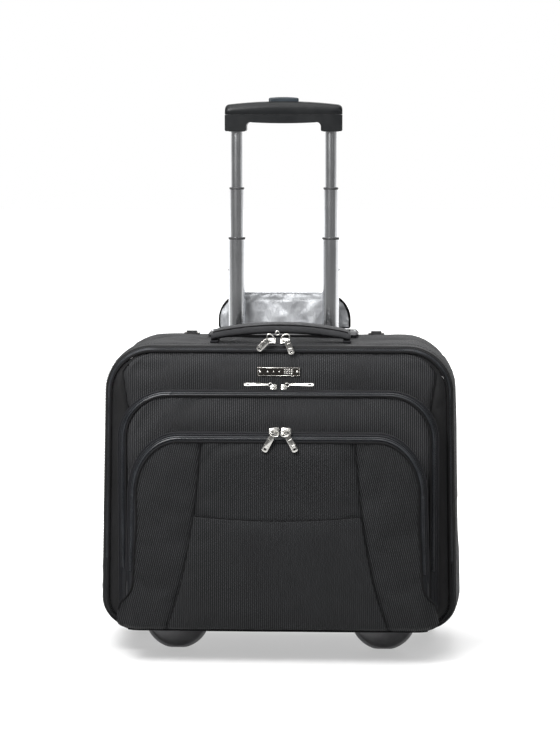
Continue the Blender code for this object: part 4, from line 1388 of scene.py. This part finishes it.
# Telescopic handle
def turned(name, profile, x, y, material, body, slot, nodes=(), steps=64, axis="Z"):
    """A closed profile of (radius, height) points turned round an upright axis, or one along X."""
    verts, faces = [], []
    count = len(profile)
    for i in range(steps):
        a = 2 * math.pi * i / steps
        for r, h in profile:
            if axis == "Z":
                verts.append(Vector((x + r * math.cos(a), y + r * math.sin(a), h)))
            else:
                verts.append(Vector((x + h, y[0] + r * math.cos(a), y[1] + r * math.sin(a))))
    for i in range(steps):
        j = (i + 1) % steps
        for k in range(count):
            m = (k + 1) % count
            faces.append((i * count + k, j * count + k, j * count + m, i * count + m))
    return done(face_outward(mesh(name, verts, faces, material, angle=35)), body, slot, *nodes)


def make_tubes():
    """Three stages on each side, the lower two ending in a collar, and the pins that lock the lowest."""
    lip, proud, collar_height = 0.0004, 0.0007, 0.0022
    for label, wall in (("lower", 0.0010), ("mid", 0.0009), ("top", 0.0010)):
        collared = label != "top"
        for side, _ in SIDES:
            low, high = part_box(f"{label}_tube_{side}")
            x = (low.x + high.x) / 2
            r = (high.x - low.x) / 2 - (proud if collared else 0.0)
            head = high.z - (collar_height if collared else 0.0)
            profile = [(r - lip, head), (r, head - lip), (r, low.z + lip), (r - lip, low.z),
                       (r - wall, low.z), (r - wall, head)]
            turned(f"{label}_stage_tube_{side}", profile, x, TUBE_Y, M["aluminium"], f"{label}_stage",
                   "tube_aluminium", (f"{label}_tube_{side}",))
            if not collared:
                continue
            c, outer, inner = high.z, r + 0.0005, r - wall + 0.0002
            collar = [(outer - 0.0003, c), (outer, c - 0.0004), (outer, c - 0.0016),
                      (outer - 0.0004, c - 0.0020), (r + 0.0001, c - 0.0024), (inner, c - 0.0023), (inner, c)]
            turned(f"{label}_collar_{side}", collar, x, TUBE_Y, M["moulding"], f"{label}_stage", "moulding")
    for side, sign in SIDES:
        low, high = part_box("lock_pin_" + side)
        z = (low.z + high.z) / 2
        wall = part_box("lower_tube_" + side)
        edge = max(abs(wall[0].x), abs(wall[1].x)) - proud
        inner = abs(low.x + high.x) / 2 - 0.0007
        profile = [(0.0, inner), (0.0020, inner), (0.0020, edge + 0.0006), (0.0013, edge + 0.0013),
                   (0.0, edge + 0.0014)]
        turned("spring_pin_" + side, [(r, sign * h) for r, h in profile], 0.0, (TUBE_Y, z), M["steel"],
               "lower_stage", "steel", ("lock_pin_" + side,), 24, "X")


def grip_section(half_y, z_low, z_high, rounding, count=6):
    """Rounded rectangle across the grip, as (y, z) points."""
    points = []
    r = min(rounding, (z_high - z_low) / 2 - 0.0001, half_y - 0.0001)
    corners = ((half_y - r, z_high - r), (r - half_y, z_high - r),
               (r - half_y, z_low + r), (half_y - r, z_low + r))
    for turn, (cy, cz) in enumerate(corners):
        for i in range(count + 1):
            a = math.radians(90 * turn + 90 * i / count)
            points.append((cy + r * math.cos(a), cz + r * math.sin(a)))
    return points


def make_grip():
    """Grip in two halves with a parting groove. The lower half has a rounded underside and two sockets."""
    low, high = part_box("grip_shell")
    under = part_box("grip_underside")[0].z
    half, depth = high.x, (high.y - low.y) / 2
    parting, top = low.z, high.z
    rows = []
    xs = [-half + half * 0.06 * (1 - math.cos(math.radians(90 * i / 5))) for i in range(5)]
    xs += [mix(-half * 0.94, half * 0.94, i / 36) for i in range(37)]
    xs += [-x for x in reversed(xs[:5])]

    def rounding(size, t, start):
        """How far a quarter round that begins at a share of the half length has drawn in."""
        return size * (1 - math.sqrt(max(0.0, 1 - max(0.0, (t - start) / (1 - start)) ** 2)))

    for x in xs:
        t = abs(x) / half
        side = rounding(0.0030, t, 0.90)
        z_high = top - 0.0046 * t * t - rounding(0.0050, t, 0.93)
        section = grip_section(depth - side, parting - 0.004, z_high, 0.0080)
        rows.append([Vector((x, TUBE_Y + y, max(parting + 0.0001, z))) for y, z in section])
    upper = skin("grip_top", rows, M["grip"], closed=True, angle=40)
    close_ends(upper, len(rows), len(rows[0]))
    tool = cut_away(upper, "button_way", (0, TUBE_Y, top + 0.0012), (0.0376, 0.0166, 0.020))
    bake_modifiers(upper, tool)
    done(upper, "top_stage", "grip", "grip_shell")

    inner = half - 0.0265
    bend, bend_z = 0.0055, 0.6365
    outline = [(half, parting - 0.0003), (half, under + 0.0012), (half - 0.0012, under)]
    outline += [(inner + 0.0012, under), (inner, under + 0.0012)]
    for a in (math.radians(15 * i) for i in range(7)):
        outline.append((inner - bend + bend * math.cos(a), bend_z + bend * math.sin(a)))
    outline += [(inner * (0.85 - 0.085 * i), 0.6405 + 0.0015 * (0.85 - 0.085 * i) ** 2) for i in range(11)]
    loop = outline + [(-x, z) for x, z in reversed(outline[:-1])]
    bm = bmesh.new()
    face = bm.faces.new([bm.verts.new((x, TUBE_Y - depth, z)) for x, z in loop])
    made = bmesh.ops.extrude_face_region(bm, geom=[face])
    moved = [item for item in made["geom"] if isinstance(item, bmesh.types.BMVert)]
    bmesh.ops.translate(bm, vec=(0, 2 * depth, 0), verts=moved)
    weight = bm.edges.layers.float.new("bevel_weight_edge")
    for edge in bm.edges:
        edge[weight] = 0.1 if min(v.co.z for v in edge.verts) > parting - 0.001 else 1.0
    lower = from_bm("grip_bottom", bm, M["grip"])
    bevel(lower, 0.0034, 4, 50).modifiers[-1].limit_method = "WEIGHT"
    size = (2 * half - 0.003, 2 * depth - 0.003, 0.006)
    core = rounded_box("grip_core", (0, TUBE_Y, parting), size, 0.001, M["moulding"])
    done(core, "top_stage", "moulding")
    done(lower, "top_stage", "grip", "grip_underside")
    for side, sign in SIDES:
        profile = [(0.0076, 0.6302), (0.0096, 0.6302), (0.0100, 0.6310), (0.0076, 0.6312)]
        turned("grip_ferrule_" + side, profile, sign * TUBE_X, TUBE_Y, M["moulding"], "top_stage", "moulding")

    low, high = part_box("release_button")
    droop = 0.0011
    bm = bmesh.new()
    block(bm, high - low, (low + high) / 2)
    lengthwise = [e for e in bm.edges if abs(e.verts[0].co.x - e.verts[1].co.x) > 0.01]
    bmesh.ops.subdivide_edges(bm, edges=lengthwise, cuts=11)
    for v in bm.verts:
        if v.co.z > high.z - 0.001:
            v.co.z -= droop * (v.co.x / high.x) ** 2
    button = from_bm("button_cap", bm, M["button"])
    bevel(button, 0.0018, 4)
    done(button, "button", "grip", "release_button")
    for k in range(7):
        x = (k - 3) * 0.0032
        place = (x, TUBE_Y, high.z - 0.00035 - droop * (x / high.x) ** 2)
        rib = rounded_box(f"button_rib_{k}", place, (0.0011, 0.0105, 0.0009), 0.0003, M["button"], 2)
        done(rib, "button", "grip")


def close_ends(obj, rows, columns):
    """Closes the first and last rows of a skin."""
    def close(bm):
        bm.verts.ensure_lookup_table()
        for first in (0, (rows - 1) * columns):
            bm.faces.new([bm.verts[first + i] for i in range(columns)])
        bmesh.ops.recalc_face_normals(bm, faces=bm.faces)

    reshape(obj, close)


# Feet, housings, wheels
def make_feet():
    """Half-round feet: a moulded shell with a softly rounded edge and a flat sole."""
    axis_z = 0.0385
    edge = ((0.0, 0.0050), (0.02, 0.0024), (0.06, 0.0009), (0.13, 0.0))
    edges = edge + ((0.87, 0.0), (0.94, 0.0009), (0.98, 0.0024), (1.0, 0.0050))

    def close(bm):
        bmesh.ops.holes_fill(bm, edges=bm.edges)
        bmesh.ops.recalc_face_normals(bm, faces=bm.faces)

    for side, _ in SIDES:
        low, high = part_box("front_foot_" + side)
        x, top, r = (low.x + high.x) / 2, high.z, (high.x - low.x) / 2
        loops = []
        depth = high.y - low.y
        for share, inward in edges:
            points = []
            for i in range(49):
                a = math.radians(180 + 180 * i / 48)
                z = max(axis_z + (r - inward) * math.sin(a), inward * 0.25)
                points.append(Vector((x + (r - inward) * math.cos(a), low.y + depth * share, min(z, top))))
            loops.append(points)
        # The feet take the lighter copy of the moulding: painted light.
        obj = reshape(skin("foot_" + side, loops, M["foot"], angle=40), close)
        done(obj, "case", "moulding", "front_foot_" + side)


def make_wheels():
    bore, spoke_r, spokes = 0.0218, 0.0143, 5
    for side, _ in SIDES:
        low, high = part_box("tyre_" + side)
        x, y, z = (low.x + high.x) / 2, (low.y + high.y) / 2, (low.z + high.z) / 2
        r, half = (high.z - low.z) / 2, (high.x - low.x) / 2
        crown = [(r - 0.007 + 0.007 * math.cos(math.radians(a)), (half - 0.0002) * math.sin(math.radians(a)))
                 for a in range(80, -81, -10)]
        tread = [(rr - (0.0008 if abs(h) < 0.0012 else 0.0), h) for rr, h in crown]
        profile = [(bore, half - 0.002)] + tread + [(bore, 0.002 - half)]
        turned("wheel_tyre_" + side, profile, x, (y, z), M["rubber"], "wheel_" + side, "tyre",
               ("tyre_" + side,), 72, "X")
        rim = [(0.0215, half - 0.0045), (0.0190, half - 0.0035), (0.0170, half - 0.0060),
               (0.0110, half - 0.0070),
               (0.0100, half + 0.0004), (0.0085, half + 0.0008), (0.0043, half + 0.0008)]
        profile = rim + [(rr, -h) for rr, h in reversed(rim)]
        turned("wheel_rim_" + side, profile, x, (y, z), M["moulding"], "wheel_" + side, "moulding",
               ("wheel_hub_" + side,), 48, "X")
        for face, out in (("i", -1), ("o", 1)):
            for k in range(spokes):
                a = 2 * math.pi * k / spokes
                centre = (x + out * (half - 0.0062), y + spoke_r * math.cos(a), z + spoke_r * math.sin(a))
                spoke = rounded_box(f"wheel_spoke_{side}_{face}{k}", (0, 0, 0), (0.0032, 0.0100, 0.0030),
                                    0.0007, M["moulding"], 2)
                spoke.data.transform(Matrix.Translation(centre) @ Matrix.Rotation(a, 4, "X"))
                done(spoke, "wheel_" + side, "moulding")


def screw(name, place, radius, turn):
    """A countersunk screw head with a cross recess."""
    bm = bmesh.new()
    bmesh.ops.create_cone(bm, cap_ends=True, segments=24, radius1=radius, radius2=radius * 0.86,
                          depth=radius * 0.35)
    obj = from_bm(name, bm, M["steel"])
    length, width, deep = radius * 1.1, radius * 0.26, radius * 0.3
    for size in ((length, width, deep), (width, length, deep)):
        bake_modifiers(obj, cut_away(obj, "cross", (0, 0, radius * 0.17), size))
    obj.data.transform(Matrix.Translation(place) @ turn)
    done(obj, "case", "steel")


def finish_cad():
    """Finishes for the CAD pieces that are shown as they are, and the screws that hold them."""
    finishes = {"moulding": ("base_board", "tube_bracket", "handle_garage", "garage_bezel", "kick_plate",
                             "wheel_housing_l", "wheel_housing_r"),
                "steel": ("rim_wire", "axle_l", "axle_r", "outer_tube_l", "outer_tube_r")}
    for key, nodes in finishes.items():
        for node in nodes:
            obj = frame["nodes"][node]
            obj.data.materials.clear()
            obj.data.materials.append(M[key])
    back = Matrix.Rotation(-math.pi / 2, 4, "X")
    low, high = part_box("kick_plate")
    for k, x in enumerate((-0.145, -0.05, 0.05, 0.145)):
        for row, z in enumerate((low.z + 0.008, high.z - 0.008)):
            screw(f"kick_screw_{k}_{row}", (x, high.y + 0.0004, z), 0.0030, back)
    for side, sign in SIDES:
        low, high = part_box("wheel_housing_" + side)
        z = high.z - 0.010
        for k, x in enumerate((low.x + 0.010, high.x - 0.010)):
            screw(f"housing_screw_{side}_{k}", (x, high.y + 0.0004, z), 0.0030, back)
        sideways = Matrix.Rotation(sign * math.pi / 2, 4, "Y")
        outer = high.x if sign > 0 else low.x
        for k, y in enumerate((low.y + 0.012, high.y - 0.012)):
            screw(f"housing_side_screw_{side}_{k}", (outer + sign * 0.0002, y, z), 0.0028, sideways)
    low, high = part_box("garage_bezel")
    for k, x in enumerate((low.x + 0.0045, high.x - 0.0045)):
        screw(f"bezel_screw_{k}", (x, TUBE_Y, high.z + 0.0003), 0.0022, Matrix.Identity(4))


# Stage
def make_stage():
    t = Tree("pale_floor", (0.93, 0.93, 0.93), 0.6)
    across, along, _ = t.split(t.place)
    pale = t.range(along, 0.0, 1.0, -2.4, -0.6)
    far = t.range(t.math("ADD", along, t.math("MULTIPLY", across, 0.3)), 0.45, 1.3, 0.10, 0.75)
    shade = t.math("MULTIPLY", pale, t.range(t.noise(3, 2.0), 0.97, 1.0))
    t.colour(t.blend(shade, (0.24, 0.24, 0.24), (0.40, 0.40, 0.40)))
    t.shader.inputs["Emission Color"].default_value = (1.0, 1.0, 1.0, 1.0)
    t.feed(t.shader.inputs["Emission Strength"], t.math("MULTIPLY", pale, far))
    bm = bmesh.new()
    bmesh.ops.create_grid(bm, x_segments=1, y_segments=1, size=14.0)
    floor = from_bm("floor", bm, t.material)
    scene = bpy.context.scene
    world = bpy.data.worlds.new("studio")
    world.use_nodes = True
    tree = world.node_tree
    tree.nodes["Background"].inputs["Color"].default_value = (1.0, 1.0, 1.0, 1.0)
    split = tree.nodes.new("ShaderNodeSeparateXYZ")
    tree.links.new(tree.nodes.new("ShaderNodeTexCoord").outputs["Generated"], split.inputs[0])
    total = tree.nodes.new("ShaderNodeMath")
    ramps = ((1, 0.30, 0.80, 0.14, 1.0), (2, 0.20, 1.0, 0.0, 0.40))
    for k, (axis, start, end, low, high) in enumerate(ramps):
        ramp = tree.nodes.new("ShaderNodeMapRange")
        ramp.interpolation_type = "SMOOTHSTEP"
        for socket, value in zip(("From Min", "From Max", "To Min", "To Max"), (start, end, low, high)):
            ramp.inputs[socket].default_value = value
        tree.links.new(split.outputs[axis], ramp.inputs["Value"])
        tree.links.new(ramp.outputs[0], total.inputs[k])
    tree.links.new(total.outputs[0], tree.nodes["Background"].inputs["Strength"])
    scene.world = world
    scene.view_settings.view_transform = "Standard"
    lights = (("overhead", (-0.2, -0.6, 2.4), 2.0, 66), ("key", (-0.4, -0.8, 1.05), 0.5, 21),
              ("fill", (0.9, -1.3, 1.2), 0.5, 6), ("back", (0.4, 2.0, 2.0), 1.5, 20))
    for name, place, size, power in lights:
        data = bpy.data.lights.new(name, "AREA")
        data.size = size
        data.energy = power
        obj = bpy.data.objects.new(name, data)
        scene.collection.objects.link(obj)
        obj.location = place
        obj.rotation_euler = (Vector((0, 0, 0.3)) - Vector(place)).to_track_quat("-Z", "Y").to_euler()


def make_camera():
    """The viewpoint: a long lens 2.8 m away, a little above and to the right."""
    data = bpy.data.cameras.new("camera")
    data.lens = 113.35
    data.sensor_width = 36.0
    data.clip_end = 100
    obj = bpy.data.objects.new("camera", data)
    bpy.context.scene.collection.objects.link(obj)
    obj.location = (0.1143, RIM_Y - 2.7923, 0.645)
    obj.rotation_euler = (math.radians(90 - 6.16), 0, math.radians(2.319))
    bpy.context.scene.camera = obj


make_camera()
make_stage()
make_gusset()
make_back()
make_divider()
make_main_zip()
make_front_panel()
make_pocket_1()
make_pocket_2()
make_pulls()
make_plate()
make_carry_handle()
make_rings()
make_flap()
make_tubes()
make_grip()
make_feet()
make_wheels()
finish_cad()
